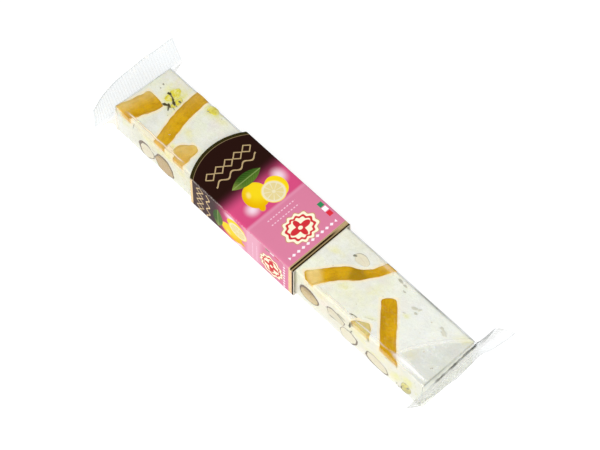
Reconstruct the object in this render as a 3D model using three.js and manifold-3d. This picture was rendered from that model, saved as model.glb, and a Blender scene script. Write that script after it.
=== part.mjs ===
// A bar of soft white nougat with candied peel, almonds and pistachios, in a clear wrapper that is
// crimped shut at both ends, with a printed card sleeve round its middle.
// Millimetres. X runs along the bar, -Y is its front side, +Z is up, and the table is at z = 0.

import * as THREE from 'three';
import { mergeVertices } from 'three/addons/utils/BufferGeometryUtils.js';
import Module from 'manifold-3d';

const wasm = await Module();
wasm.setup();

// ---- Driving dimensions -------------------------------------------------------------------------

const gap = 0.3; // between any two neighbouring solids
const card = 0.45; // thickness of the sleeve's card

const bar = {
  length: 178.4,
  width: 29,
  height: 18.4,
  round: 0.8, // of its edges
  skew: 1.7, // how much further the left end reaches in front than at the back
  lift: card + gap, // it lies on the sleeve's floor
  sag: 0.22, // depth of the low waves in its top and sides
};

const sleeve = {
  left: -43.1,
  right: 17.6,
  width: 31.8,
  height: bar.height + 2 * (card + gap),
  round: 0.7,
  arch: 5.1, // how far its top panel's left edge bulges out
};

const wrap = {
  slack: 0.1, // how far the film stands off the nougat
  fin: 13.5, // length of a crimped fin, from its root to its cut edge
  thickness: 0.8,
  rib: 0.18, // half the height of the crimp's ribs
  across: 40, // steps across a fin, with a rib to every second one
  along: 5, // steps along a fin
};

// How each end of the film is folded, seen from outside that end. root is where the fin starts: its
// distance from the nougat's end and its height. rise is how steeply the fin stands up, in degrees,
// at its left tip, in its middle and at its right tip.
const filmEnds = {
  film_end_right: { side: 1, root: [0.9, 16.8], width: 50.4, rise: [60, 54, 42] },
  film_end_left: { side: -1, root: [2.8, 9.2], width: 48, rise: [66, 62, 86] },
};

const peelThickness = 4.3;
// Sticks of candied peel, let in flush with the top. Each station is x, y and the stick's width.
const peelStrips = [
  [[-81.6, 0.9, 10.6], [-82.8, -6, 10], [-86.2, -16, 9.4]],
  [[-68.4, 17, 7], [-68.1, 8, 7.2], [-67, 0, 7], [-64.9, -8, 6.9], [-62.8, -17, 6.2]],
  [[-52.4, -3.9, 3.6], [-53.3, -6.8, 7], [-53.7, -9.6, 8.8], [-52.3, -13, 6.4], [-52, -17, 5.4]],
  [
    [23.2, -14, 7.2], [25.2, -10.3, 6.9], [27.9, -6.2, 6.9], [32, -1, 6.8], [36, 2.3, 5.6],
    [38.3, 5.6, 4.6], [40.5, 9, 4.2], [43.4, 17, 4.8],
  ],
  [[52.4, 3.4, 6.4], [58.5, -2.5, 6.7], [62.7, -7, 6.6], [66.8, -11.2, 6.5], [72.5, -17, 7.2]],
  [[53.9, -9.9, 4], [53.6, -12.2, 8.4], [53.6, -14, 9.8], [54.2, -17, 10.4]],
];

// Nuts, cut through where they reach a face of the bar. at is where on that face: x and the height
// above the table on the front and back, x and y on the top and underside, y and the height on the
// ends. size is how wide and how tall the cut is, and turn its angle in degrees.
const almonds = [
  { face: 'front', at: [-71.8, 6], size: [9.4, 9.2], turn: 20 },
  { face: 'front', at: [-61, 6.8], size: [11, 10.6], turn: -25 },
  { face: 'front', at: [25, 8.8], size: [11.2, 10.2], turn: 0 },
  { face: 'front', at: [39.4, 11], size: [9.4, 7], turn: -8 },
  { face: 'front', at: [48.4, 5.8], size: [10.2, 8.8], turn: 20 },
  { face: 'front', at: [64, 5.1], size: [13, 7.2], turn: -10 },
  { face: 'back', at: [-80, 7.5], size: [10.5, 9], turn: 15 },
  { face: 'back', at: [-58.5, 6.8], size: [12, 8.5], turn: -12 },
  { face: 'back', at: [26.5, 8.5], size: [11, 10], turn: 30 },
  { face: 'back', at: [51, 6.8], size: [12.5, 8.5], turn: 8 },
  { face: 'back', at: [66, 9.3], size: [10.5, 9.5], turn: -30 },
  { face: 'top', at: [32.4, 8.1], size: [7.6, 4.6], turn: 0 },
  { face: 'under', at: [-68, 3], size: [12, 8], turn: 20 },
  { face: 'under', at: [38, -0.5], size: [11, 8], turn: -35 },
  { face: 'under', at: [72, 2.5], size: [12, 8], turn: 10 },
  { face: 'back', at: [38.3, 8.4], size: [9.4, 8], turn: -12 },
  { face: 'left', at: [-4.5, 9.5], size: [10, 8.5], turn: -15 },
];
const pistachios = [
  { face: 'top', at: [-77.3, 6.3], size: [4.4, 8.4], turn: 0 },
  { face: 'top', at: [-73.4, 4.6], size: [2.9, 6.4], turn: 0 },
  { face: 'top', at: [-60.3, 13], size: [5.5, 3.8], turn: 8 },
  { face: 'front', at: [80.3, 5.8], size: [5.6, 8.2], turn: -15 },
  { face: 'back', at: [79.5, 7.5], size: [6, 5], turn: 25 },
  { face: 'back', at: [-50, 9.5], size: [4.5, 6], turn: 0 },
];
const almondDepth = 6;
const pistachioDepth = 3.2;

// ---- Making and joining solids ------------------------------------------------------------------

// One closed body through rings of equally many points. The rings run anticlockwise seen from the
// last one, and each end is shut by a ladder between its two halves.
function loft(rings) {
  const around = rings[0].length;
  const faces = [];
  const quad = (a, b, c, d) => faces.push(a, b, c, a, c, d);
  for (let r = 0; r < rings.length - 1; r += 1) {
    for (let i = 0; i < around; i += 1) {
      const here = r * around + i;
      const next = r * around + ((i + 1) % around);
      quad(here, next, next + around, here + around);
    }
  }
  const last = (rings.length - 1) * around;
  for (let i = 0; i < around / 2 - 1; i += 1) {
    const ladder = [i, i + 1, around - 2 - i, around - 1 - i];
    quad(...ladder.toReversed());
    quad(...ladder.map((index) => last + index));
  }
  const geometry = new THREE.BufferGeometry();
  geometry.setFromPoints(rings.flat());
  geometry.setIndex(faces);
  return geometry;
}

function toSolid(geometry) {
  const bare = geometry.clone();
  bare.deleteAttribute('normal');
  bare.deleteAttribute('uv');
  const merged = mergeVertices(bare, 1e-4);
  return new wasm.Manifold(new wasm.Mesh({
    numProp: 3,
    vertProperties: merged.attributes.position.array,
    triVerts: Uint32Array.from(merged.index.array),
  }));
}

function toGeometry(solid) {
  const { vertProperties, triVerts } = solid.getMesh();
  const geometry = new THREE.BufferGeometry();
  geometry.setAttribute('position', new THREE.BufferAttribute(vertProperties, 3));
  geometry.setIndex(new THREE.BufferAttribute(triVerts, 1));
  geometry.computeVertexNormals();
  return geometry;
}

function movePoints(geometry, move) {
  const { position } = geometry.attributes;
  const point = new THREE.Vector3();
  for (let i = 0; i < position.count; i += 1) {
    move(point.fromBufferAttribute(position, i));
    position.setXYZ(i, point.x, point.y, point.z);
  }
  return geometry;
}

// ---- The bar's own shape ------------------------------------------------------------------------

const barMiddle = bar.lift + bar.height / 2;
const barHalf = new THREE.Vector3(bar.length, bar.width, bar.height).multiplyScalar(0.5);

// How far the left end leans out at y.
const leanAt = (x, y) => (x < 0 ? (bar.skew / bar.width) * y : 0);

// A block cut by hand: its edges are rounded, the left end is slightly out of square, and with sag
// its top and sides are a little wavy.
function block(segments, sag) {
  const box = new THREE.BoxGeometry(1, 1, 1, ...segments);
  const core = barHalf.clone().subScalar(bar.round);
  // The outermost step of the grid takes the rounding, and the others share the flat between.
  const spread = (share, steps, flat) => {
    const step = Math.round((share + 0.5) * steps);
    if (step === 0 || step === steps) return Math.sign(share) * (flat + bar.round);
    return flat * ((2 * (step - 1)) / (steps - 2) - 1);
  };
  return movePoints(box, (point) => {
    point.set(
      spread(point.x, segments[0], core.x),
      spread(point.y, segments[1], core.y),
      spread(point.z, segments[2], core.z),
    );
    const inner = point.clone().clamp(core.clone().negate(), core);
    const outward = point.clone().sub(inner).setLength(bar.round);
    const wave = (Math.sin(point.x * 0.19 + point.y * 0.31) + Math.cos(point.x * 0.43 - point.z * 0.5)) / 2;
    point.copy(inner).addScaledVector(outward, 1 - (sag * (1 + wave)) / (2 * bar.round));
    point.x += leanAt(point.x, point.y) * Math.min(1, -point.x / core.x);
    point.z += barMiddle;
  });
}

const barBlock = toSolid(block([4, 4, 4], 0));

// ---- Peel and nuts, each let into the block -----------------------------------------------------

// A stick with rounded corners along its stations, larger by grow on every side.
function stick(stations, grow) {
  const path = new THREE.CatmullRomCurve3(stations.map((station) => new THREE.Vector3(...station)));
  const steps = 2 * stations.length;
  const around = 10;
  const squareness = 0.3; // 1 would make the section an ellipse
  const rings = [];
  for (let s = 0; s <= steps; s += 1) {
    const { x, y, z: width } = path.getPoint(s / steps);
    const ahead = path.getTangent(s / steps).setZ(0).normalize();
    const atEnd = s === 0 || s === steps;
    const half = (atEnd ? 0.44 : 0.5) * width + grow;
    const deep = (atEnd ? 0.46 : 0.5) * peelThickness + grow;
    const out = s === 0 ? -grow : grow * (s === steps);
    const ring = [];
    for (let i = 0; i < around; i += 1) {
      const angle = ((i + 0.5) / around) * 2 * Math.PI;
      const sideways = half * Math.sign(Math.cos(angle)) * Math.abs(Math.cos(angle)) ** squareness;
      const up = deep * Math.sign(Math.sin(angle)) * Math.abs(Math.sin(angle)) ** squareness;
      ring.push(new THREE.Vector3(
        x - ahead.y * sideways + ahead.x * out,
        y + ahead.x * sideways + ahead.y * out,
        bar.lift + bar.height - peelThickness / 2 + up,
      ));
    }
    rings.push(ring);
  }
  return toSolid(loft(rings));
}

// Where each face of the bar lies: a point of it, the way "across" and "up" run on it as seen from
// outside, and how its at is read.
const faces = {
  front: { origin: [0, -barHalf.y, 0], across: [1, 0, 0], up: [0, 0, 1] },
  back: { origin: [0, barHalf.y, 0], across: [-1, 0, 0], up: [0, 0, 1] },
  top: { origin: [0, 0, bar.lift + bar.height], across: [1, 0, 0], up: [0, 1, 0] },
  under: { origin: [0, 0, bar.lift], across: [1, 0, 0], up: [0, -1, 0] },
  right: { origin: [barHalf.x, 0, 0], across: [0, 1, 0], up: [0, 0, 1] },
  left: { origin: [-barHalf.x, 0, 0], across: [0, -1, 0], up: [0, 0, 1] },
};

// A nut that lies in a face, as wide as it gets there and rounded off inwards, with one end of it
// more pointed. Its top stands out of the face, to be cut off flush.
function kernel({ face, at, size, turn }, depth, around, grow) {
  const frame = faces[face];
  const across = new THREE.Vector3(...frame.across);
  const up = new THREE.Vector3(...frame.up);
  const inward = up.clone().cross(across);
  const centre = new THREE.Vector3(...frame.origin);
  // at holds plain coordinates, so the part along a reversed direction changes its sign.
  centre.addScaledVector(across, at[0] * (across.x + across.y));
  centre.addScaledVector(up, at[1] * (up.y + up.z));
  const angle0 = THREE.MathUtils.degToRad(turn);
  const pointedness = 0.16;
  const levels = [-0.8, 0, 0.45, 0.78, 0.97];
  const rings = levels.map((level) => {
    const shrink = level > 0 ? Math.sqrt(1 - level * level) : 1;
    const ring = [];
    for (let i = 0; i < around; i += 1) {
      const angle = ((i + 0.5) / around) * 2 * Math.PI;
      const long = (size[0] / 2 + grow) * Math.cos(angle) * shrink;
      const wide = (size[1] / 2 + grow) * Math.sin(angle) * (1 - pointedness * Math.cos(angle)) * shrink;
      const point = centre.clone();
      point.addScaledVector(across, long * Math.cos(angle0) - wide * Math.sin(angle0));
      point.addScaledVector(up, long * Math.sin(angle0) + wide * Math.cos(angle0));
      point.addScaledVector(inward, level * (depth + grow));
      ring.push(point);
    }
    // Inwards the rings are seen from behind, so each one runs the other way round.
    return ring.toReversed();
  });
  return toSolid(loft(rings));
}

// ---- The film's ends ----------------------------------------------------------------------------

// From the bar's outline the film draws in to the fin's root, and then runs out along the fin. The
// outer quarters of the fin come from the bar's sides, which spread into two ears.
function filmEnd({ side, root, width, rise }) {
  const half = width / 2;
  const filmHalf = bar.width / 2 + wrap.slack;
  const filmHeight = bar.height / 2 + wrap.slack;
  const sheet = wrap.thickness / 2;
  const endAt = (y) => barHalf.x - leanAt(-barHalf.x, side < 0 ? -y : 0) + gap;
  const riseAt = (share) => {
    const tip = share < 0 ? rise[0] : rise[2];
    return THREE.MathUtils.degToRad(rise[1] + (tip - rise[1]) * Math.abs(share) ** 1.5);
  };

  // layer is -1 in the lower sheet of the fin and 1 in the upper one.
  const onOutline = (share, layer) => {
    const across = Math.abs(share) * half;
    const down = Math.max(0, across - filmHalf) / (half - filmHalf);
    const y = Math.sign(share) * Math.min(across, filmHalf);
    const z = barMiddle + layer * (sheet + (filmHeight - sheet) * (1 - down));
    return new THREE.Vector3(endAt(y), y, z);
  };
  const onFin = (share, layer, along) => {
    const angle = riseAt(share);
    const zigzag = Math.round((share + 1) * (wrap.across / 2)) % 2 ? wrap.rib : -wrap.rib;
    const off = layer * sheet + zigzag * Math.min(1, along / 2);
    return new THREE.Vector3(
      barHalf.x + root[0] + along * Math.cos(angle) - off * Math.sin(angle),
      share * half,
      root[1] + along * Math.sin(angle) + off * Math.cos(angle),
    );
  };

  const ringOf = (pointAt) => {
    const ring = [];
    for (const layer of [-1, 1]) {
      for (let i = 0; i <= wrap.across; i += 1) {
        ring.push(pointAt(-layer * ((2 * i) / wrap.across - 1), layer));
      }
    }
    return ring;
  };
  const rings = [
    ringOf(onOutline),
    ringOf((share, layer) => onOutline(share, layer).lerp(onFin(share, layer, 0), 0.55)),
  ];
  for (let step = 0; step <= wrap.along; step += 1) {
    rings.push(ringOf((share, layer) => onFin(share, layer, (step / wrap.along) * wrap.fin)));
  }
  return loft(rings);
}

// ---- The card sleeve ----------------------------------------------------------------------------

function roundedRectangle(outline, width, height, round) {
  const [x, z] = [width / 2 - round, height / 2 - round];
  outline.absarc(x, z, round, 0, Math.PI / 2);
  outline.absarc(-x, z, round, Math.PI / 2, Math.PI);
  outline.absarc(-x, -z, round, Math.PI, 1.5 * Math.PI);
  outline.absarc(x, -z, round, 1.5 * Math.PI, 2 * Math.PI);
  return outline;
}

// A square tube of card, cut straight except for the left edge of its top panel, which is an arc.
function cardSleeve() {
  const { left, right, width, height, round, arch } = sleeve;
  const section = roundedRectangle(new THREE.Shape(), width, height, round);
  section.holes.push(roundedRectangle(new THREE.Path(), width - 2 * card, height - 2 * card, round - card));
  const tube = new THREE.ExtrudeGeometry(section, {
    depth: right - left + arch, bevelEnabled: false, curveSegments: 3,
  });
  // The section's X becomes the bar's Y, its Y becomes Z, and the extrusion runs along X.
  tube.applyMatrix4(new THREE.Matrix4().makeBasis(
    new THREE.Vector3(0, 1, 0),
    new THREE.Vector3(0, 0, 1),
    new THREE.Vector3(1, 0, 0),
  ));
  tube.translate(left - arch, 0, height / 2);

  const clear = 1;
  const topPanel = height - card - gap / 2;
  const offcut = new THREE.BoxGeometry(arch + clear, width + 2 * clear, topPanel + clear);
  offcut.translate(left - (arch + clear) / 2, 0, (topPanel - clear) / 2);

  // The arc runs through both corners of the panel and its middle, arch further out.
  const halfWidth = width / 2;
  const arcRadius = (halfWidth ** 2 + arch ** 2) / (2 * arch);
  const arcAngle = Math.asin(halfWidth / arcRadius);
  const arcCentre = left - arch + arcRadius;
  const beyond = new THREE.Shape();
  beyond.moveTo(left, halfWidth + clear);
  beyond.absarc(arcCentre, 0, arcRadius, Math.PI - arcAngle, Math.PI + arcAngle);
  beyond.lineTo(left, -halfWidth - clear);
  beyond.lineTo(left - arch - clear, -halfWidth - clear);
  beyond.lineTo(left - arch - clear, halfWidth + clear);
  const archCut = new THREE.ExtrudeGeometry(beyond, {
    depth: height, bevelEnabled: false, curveSegments: 20,
  });
  archCut.translate(0, 0, topPanel - gap);

  return toGeometry(toSolid(tube).subtract(toSolid(offcut)).subtract(toSolid(archCut)));
}

// ---- Assembly -----------------------------------------------------------------------------------

const colours = {
  nougat: ['#e9e7d9', 0.6],
  peel: ['#d69a2a', 0.4],
  almond: ['#e6d3b0', 0.55],
  pistachio: ['#b9bd4e', 0.5],
  film: ['#e8f0f2', 0.15],
  sleeve: ['#c8407c', 0.4],
};

function mesh(name, geometry, finish) {
  const [color, roughness] = colours[finish];
  const material = new THREE.MeshStandardMaterial({ color, roughness, metalness: 0 });
  if (finish === 'film') Object.assign(material, { transparent: true, opacity: 0.35 });
  const piece = new THREE.Mesh(geometry, material);
  piece.name = name;
  return piece;
}

const inlays = [
  ...peelStrips.map((stations, i) => ({
    name: `peel_strip_${i + 1}`, finish: 'peel', make: (grow) => stick(stations, grow),
  })),
  ...almonds.map((nut, i) => ({
    name: `almond_${i + 1}`, finish: 'almond', make: (grow) => kernel(nut, almondDepth, 12, grow),
  })),
  ...pistachios.map((nut, i) => ({
    name: `pistachio_${i + 1}`, finish: 'pistachio', make: (grow) => kernel(nut, pistachioDepth, 10, grow),
  })),
];

const nougatBar = new THREE.Group();
let nougat = toSolid(block([36, 7, 6], bar.sag));
for (const { name, finish, make } of inlays) {
  nougat = nougat.subtract(make(gap));
  nougatBar.add(mesh(name, toGeometry(make(0).intersect(barBlock)), finish));
}
nougatBar.add(mesh('nougat', toGeometry(nougat), 'nougat'));

const film = new THREE.Group();
for (const [name, shape] of Object.entries(filmEnds)) {
  const end = mesh(name, filmEnd(shape), 'film');
  end.rotation.z = shape.side > 0 ? 0 : Math.PI;
  film.add(end);
}

const wrappedBar = new THREE.Group();
wrappedBar.add(nougatBar, film, mesh('sleeve', cardSleeve(), 'sleeve'));

export default wrappedBar;
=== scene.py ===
import bmesh
import bpy
import numpy as np
from mathutils import Matrix, Vector


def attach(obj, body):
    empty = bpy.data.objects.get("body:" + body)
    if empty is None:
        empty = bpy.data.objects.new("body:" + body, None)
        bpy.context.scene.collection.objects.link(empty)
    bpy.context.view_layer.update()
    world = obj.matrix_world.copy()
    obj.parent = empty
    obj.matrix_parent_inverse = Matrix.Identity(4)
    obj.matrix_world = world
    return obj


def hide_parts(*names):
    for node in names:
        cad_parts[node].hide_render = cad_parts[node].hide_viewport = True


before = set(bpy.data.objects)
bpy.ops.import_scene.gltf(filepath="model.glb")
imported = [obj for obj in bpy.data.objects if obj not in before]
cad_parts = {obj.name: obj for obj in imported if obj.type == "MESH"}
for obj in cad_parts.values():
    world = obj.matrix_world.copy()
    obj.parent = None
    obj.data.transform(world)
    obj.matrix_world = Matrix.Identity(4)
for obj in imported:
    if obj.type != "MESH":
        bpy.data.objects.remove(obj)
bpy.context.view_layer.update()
print("frame loaded,", len(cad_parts), "nodes")

# All shapes below are worked out in millimetres and written in metres.
bar = {
    "half": (89.2, 14.5, 9.2),
    "middle": 9.95,  # height of its centre
    "round": 0.8,
    "skew": 1.7,  # how far its left end is askew
    "sag": 0.22,  # depth of the waves of its cut faces
    "grid": 0.6,  # spacing of its points
    "grey": (0.79, 0.78, 0.70),
    "yellowish": (0.84, 0.84, 0.67),
    "pale": (0.89, 0.88, 0.81),
}
halfX, halfY, halfZ = bar["half"]
top = bar["middle"] + halfZ


def ripple(points, size, seed, count=16):
    # sum of count plane waves about size mm long, in random directions, roughly between -1 and 1
    draw = np.random.default_rng(seed)
    way = draw.normal(size=(points.shape[-1], count))
    way *= 2 * np.pi / size * draw.uniform(0.6, 1.5, count) / np.linalg.norm(way, axis=0)
    return np.sin(points @ way + draw.uniform(0, 2 * np.pi, count)).sum(-1) * np.sqrt(2 / count) / 1.5


def ease(value, low, high):
    # 0 below low, 1 above high, with a smooth S between them
    share = np.clip((value - low) / (high - low), 0, 1)
    return share * share * (3 - 2 * share)


def leanAt(x, y):
    # the bar's left end is cut slightly askew: it reaches further out at the front
    return np.where(x < 0, bar["skew"] / (2 * halfY) * y * np.clip(-x / halfX, 0, 1), 0)


def hollowAt(x, y, z):
    # depth of the low waves of the hand-cut faces, 0 to sag
    wave = (np.sin(x * 0.19 + y * 0.31) + np.cos(x * 0.43 - (z - bar["middle"]) * 0.5)) / 2
    return bar["sag"] * (1 + wave) / 2


def sinkAt(place):
    # depth of the cut faces under the plain block: the low waves, and two sizes of unevenness
    block = place - np.array([0, 0, bar["middle"]])
    waves = hollowAt(*np.moveaxis(place, -1, 0)) * ease(place[..., 2], 0.8, 4.0)
    return waves + 0.03 * (1 + ripple(block, 7, 3)) + 0.018 * (1 + ripple(block, 2.6, 8))


def turned(u, v, degrees):
    # a flat vector turned anticlockwise: u cos - v sin, and u sin + v cos
    cosine, sine = np.cos(np.radians(degrees)), np.sin(np.radians(degrees))
    return u * cosine - v * sine, u * sine + v * cosine


def raggedAt(angle, draw, depth, waves):
    # a radius of about 1 with one cosine for each wave count, each of random depth and place
    return 1 + sum(draw.uniform(-depth, depth) * np.cos(n * angle + draw.uniform(0, 6.3)) for n in waves)


def squared(out, power):
    # directions stretched until the powers of their parts add up to 1: round at 2, near a square at 12
    return out / np.maximum((np.abs(out)**power).sum(-1, keepdims=True), 1e-9)**(1 / power)


def gridFaces(rows, columns, closedRows=False, closedColumns=False):
    # quads of a grid of rows x columns points, each closed direction joined to its start
    row = np.arange(rows if closedRows else rows - 1)
    column = np.arange(columns if closedColumns else columns - 1)
    row, column = np.meshgrid(row, column, indexing="ij")
    down, right = (row + 1) % rows, (column + 1) % columns
    corners = (row, column), (down, column), (down, right), (row, right)
    return np.stack([r * columns + c for r, c in corners], -1).reshape(-1, 4)


def smoothLine(stations, share):
    # curve through the stations with tangents from their neighbours: cubic Hermite between each two
    stations = np.asarray(stations, float)
    last = len(stations) - 1
    tangent = np.gradient(stations, axis=0)
    at = np.clip(share * last, 0, last - 1e-9)
    i = at.astype(int)
    t = (at - i)[:, None]
    return ((2 * t**3 - 3 * t**2 + 1) * stations[i] + (t**3 - 2 * t**2 + t) * tangent[i]
            + (3 * t**2 - 2 * t**3) * stations[i + 1] + (t**3 - t**2) * tangent[i + 1])


def makePiece(name, points, faces, materials, values, faceMaterial=None, weld=True, sharp=None):
    # a mesh from arrays: per-point values become attributes, and the faces are turned round if the sum of
    # the signed volumes under them, a . (b x c + c x d) for each, is below 0; weld joins points that
    # coincide, and sharp is the angle in degrees above which an edge stays sharp
    points = points.reshape(-1, 3)
    a, b, c, d = (points[faces[:, i]] for i in range(4))
    volume = np.einsum("ij,ij->i", a, np.cross(b, c) + np.cross(c, d)).sum()
    if volume < 0:
        faces = faces[:, ::-1]
    mesh = bpy.data.meshes.new(name)
    mesh.from_pydata((points / 1000).tolist(), [], faces.tolist())
    for key, numbers in values.items():
        layer = mesh.attributes.new(key, "FLOAT", "POINT")
        layer.data.foreach_set("value", numbers.ravel().astype(np.float32))
    if faceMaterial is not None:
        mesh.polygons.foreach_set("material_index", faceMaterial.astype(np.int32))
    if weld:
        work = bmesh.new()
        work.from_mesh(mesh)
        bmesh.ops.remove_doubles(work, verts=work.verts, dist=2e-6)
        bmesh.ops.dissolve_degenerate(work, edges=work.edges, dist=1e-6)
        bmesh.ops.recalc_face_normals(work, faces=work.faces)
        work.to_mesh(mesh)
        work.free()
    mesh.shade_smooth()
    if sharp:
        mesh.set_sharp_from_angle(angle=np.radians(sharp))
    piece = bpy.data.objects.new(name, mesh)
    bpy.context.scene.collection.objects.link(piece)
    for material in materials:
        mesh.materials.append(material)
    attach(piece, "root")
    return piece


def makeTube(name, shape, material):
    # a piece whose points are rings, each closed on itself
    points, values = shape
    faces = gridFaces(*points.shape[:2], closedColumns=True)
    return makePiece(name, points, faces, [material], values)


class Wire:  # a socket that takes part in sums: every operator adds one Math node
    def __init__(self, paint, socket):
        self.paint, self.socket = paint, socket

    def __add__(self, other):
        return self.paint.math("ADD", self, other)

    def __radd__(self, other):
        return self.paint.math("ADD", other, self)

    def __sub__(self, other):
        return self.paint.math("SUBTRACT", self, other)

    def __rsub__(self, other):
        return self.paint.math("SUBTRACT", other, self)

    def __mul__(self, other):
        return self.paint.math("MULTIPLY", self, other)

    def __rmul__(self, other):
        return self.paint.math("MULTIPLY", other, self)

    def __truediv__(self, other):
        return self.paint.math("DIVIDE", self, other)

    def __pow__(self, other):
        return self.paint.math("POWER", self, other)

    def __abs__(self):
        return self.paint.math("ABSOLUTE", self)


class Paint:  # one material and its nodes
    def __init__(self, name):
        self.material = bpy.data.materials.new(name)
        self.material.use_nodes = True
        self.tree = self.material.node_tree
        self.tree.nodes.clear()

    def add(self, kind, settings=None, inputs=None, output=0):
        # any node: its settings come first, then the values or links of its sockets
        node = self.tree.nodes.new("ShaderNode" + kind)
        for key, value in (settings or {}).items():
            setattr(node, key, value)
        for key, value in (inputs or {}).items():
            if isinstance(value, Wire):
                self.tree.links.new(value.socket, node.inputs[key])
            else:
                node.inputs[key].default_value = value
        return Wire(self, node.outputs[output]) if node.outputs else node

    def math(self, operation, *values):
        # one Math node
        return self.add("Math", {"operation": operation}, dict(enumerate(values)))

    def low(self, a, b):
        return self.math("MINIMUM", a, b)

    def high(self, a, b):
        return self.math("MAXIMUM", a, b)

    def root(self, a):
        return self.math("SQRT", a)

    def wave(self, a):
        return self.math("SINE", a)

    def step(self, value, low, high, bottom=0.0, top=1.0):
        # bottom below low and top above high, with a smooth S between; low may be the larger one
        if low > high:
            low, high, bottom, top = high, low, top, bottom
        return self.add("MapRange", {"interpolation_type": "SMOOTHSTEP"},
                        {0: value, 1: low, 2: high, 3: bottom, 4: top})

    def between(self, value, low, high, soft=0.08):
        # 1 from low to high and 0 outside them, with edges soft wide to either side
        return self.step(value, low - soft, low + soft) * self.step(value, high + soft, high - soft)

    def mix(self, mask, under, over, mode="MIX"):
        # under where mask is 0, over where it is 1
        colours = [v if isinstance(v, Wire) else (*v, 1) for v in (under, over)]
        return self.add("Mix", {"data_type": "RGBA", "blend_type": mode},
                        {0: mask, 6: colours[0], 7: colours[1]}, 2)

    def millimetres(self):
        # the place of the shaded point in mm
        place = self.add("TexCoord", output=3)
        return self.add("VectorMath", {"operation": "SCALE"}, {0: place, 3: 1000.0})

    def parts(self, vector):
        # its x, y and z
        first = self.add("SeparateXYZ", inputs={0: vector})
        return [Wire(self, first.socket.node.outputs[i]) for i in range(3)]

    def vector(self, x, y, z=0.0):
        return self.add("CombineXYZ", inputs={0: x, 1: y, 2: z})

    def noise(self, place, size, detail=3.0, rough=0.5):
        # cloudy values round 0.5, in patches about size mm wide
        return self.add("TexNoise", inputs={"Vector": place, "Scale": 1 / size, "Detail": detail,
                                            "Roughness": rough})

    def cells(self, place, size):
        # distance to the nearest of points scattered about size mm apart, in such steps
        return self.add("TexVoronoi", inputs={"Vector": place, "Scale": 1 / size})

    def value(self, key):
        # one of the per-point values of the piece
        return self.add("Attribute", {"attribute_name": key}, output=2)

    def disc(self, x, y, centre, half, turn=0.0, soft=0.06):
        # 1 inside an ellipse, 0 outside it; turn is in degrees
        away = self.distance(x, y, centre, half, turn)
        return self.step(away, 1 + soft, 1 - soft)

    def distance(self, x, y, centre, half, turn=0.0):
        # 0 at the ellipse's centre and 1 on its outline
        cosine, sine = float(np.cos(np.radians(turn))), float(np.sin(np.radians(turn)))
        x, y = x - centre[0], y - centre[1]
        u, v = (x * cosine + y * sine) / half[0], (y * cosine - x * sine) / half[1]
        return self.root(u * u + v * v)

    def bump(self, height, depth, strength):
        # height from 0 to 1 stands for depth in mm
        return self.add("Bump", inputs={"Height": height, "Distance": depth / 1000, "Strength": strength})

    def surface(self, **inputs):
        # the main shader; an underscore in a name stands for a space
        named = {key.replace("_", " "): value for key, value in inputs.items()}
        return self.add("BsdfPrincipled", inputs=named)

    def finish(self, shader):
        self.add("OutputMaterial", inputs={"Surface": shader})
        return self.material


view = {
    "azimuth": 46.36,
    "elevation": 59.70,
    "distance": 1162.0,
    "across": 3.34,  # how far it is moved to the right and up, in mm
    "up": 8.19,
    "fieldOfView": 12.0,
    "sensor": 36,
}


def makeCamera():
    # it looks along the line from azimuth and elevation to the origin, moved aside in its own plane;
    # its focal length is half the sensor over the tangent of half the field of view
    azimuth, elevation = np.radians(view["azimuth"]), np.radians(view["elevation"])
    flat = np.cos(elevation)
    back = Vector((np.sin(azimuth) * flat, -np.cos(azimuth) * flat, np.sin(elevation)))
    right = Vector((np.cos(azimuth), np.sin(azimuth), 0))
    up = back.cross(right)
    data = bpy.data.cameras.new("camera")
    data.sensor_width, data.sensor_fit = view["sensor"], "HORIZONTAL"
    data.lens = view["sensor"] / 2 / np.tan(np.radians(view["fieldOfView"]) / 2)
    data.clip_start, data.clip_end = 0.05, 20
    camera = bpy.data.objects.new("camera", data)
    bpy.context.scene.collection.objects.link(camera)
    camera.matrix_world = Matrix((right, up, back)).transposed().to_4x4()
    camera.location = (right * view["across"] + up * view["up"] + back * view["distance"]) / 1000
    bpy.context.scene.camera = camera


studio = {
    # place and size in metres, and power in watts
    "softboxes": {
        "above": ((0.34, -0.58, 1.10), (0.9, 0.9), 13.8),
        "front": ((-0.42, -1.05, 0.50), (0.7, 0.5), 1.6),
        "side": ((1.05, -0.15, 0.50), (0.5, 0.6), 4.3),
    },
    "aim": (0, 0, 0.01),
    "sky": (0.96, 0.98, 1.0, 1),
    "skyStrength": 0.30,
    "floorReach": 2500,
    "floorPoints": 21,
    "floorDrop": 0.03,
    "floorGlow": 0.80,
}


def addSoftbox(name, place, size, power):
    # a rectangular lamp that faces the aim
    data = bpy.data.lights.new(name, "AREA")
    data.shape, data.size, data.size_y = "RECTANGLE", *size
    data.energy = power
    lamp = bpy.data.objects.new(name, data)
    bpy.context.scene.collection.objects.link(lamp)
    lamp.location = place
    lamp.rotation_euler = (Vector(studio["aim"]) - Vector(place)).to_track_quat("-Z", "Y").to_euler()


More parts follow.
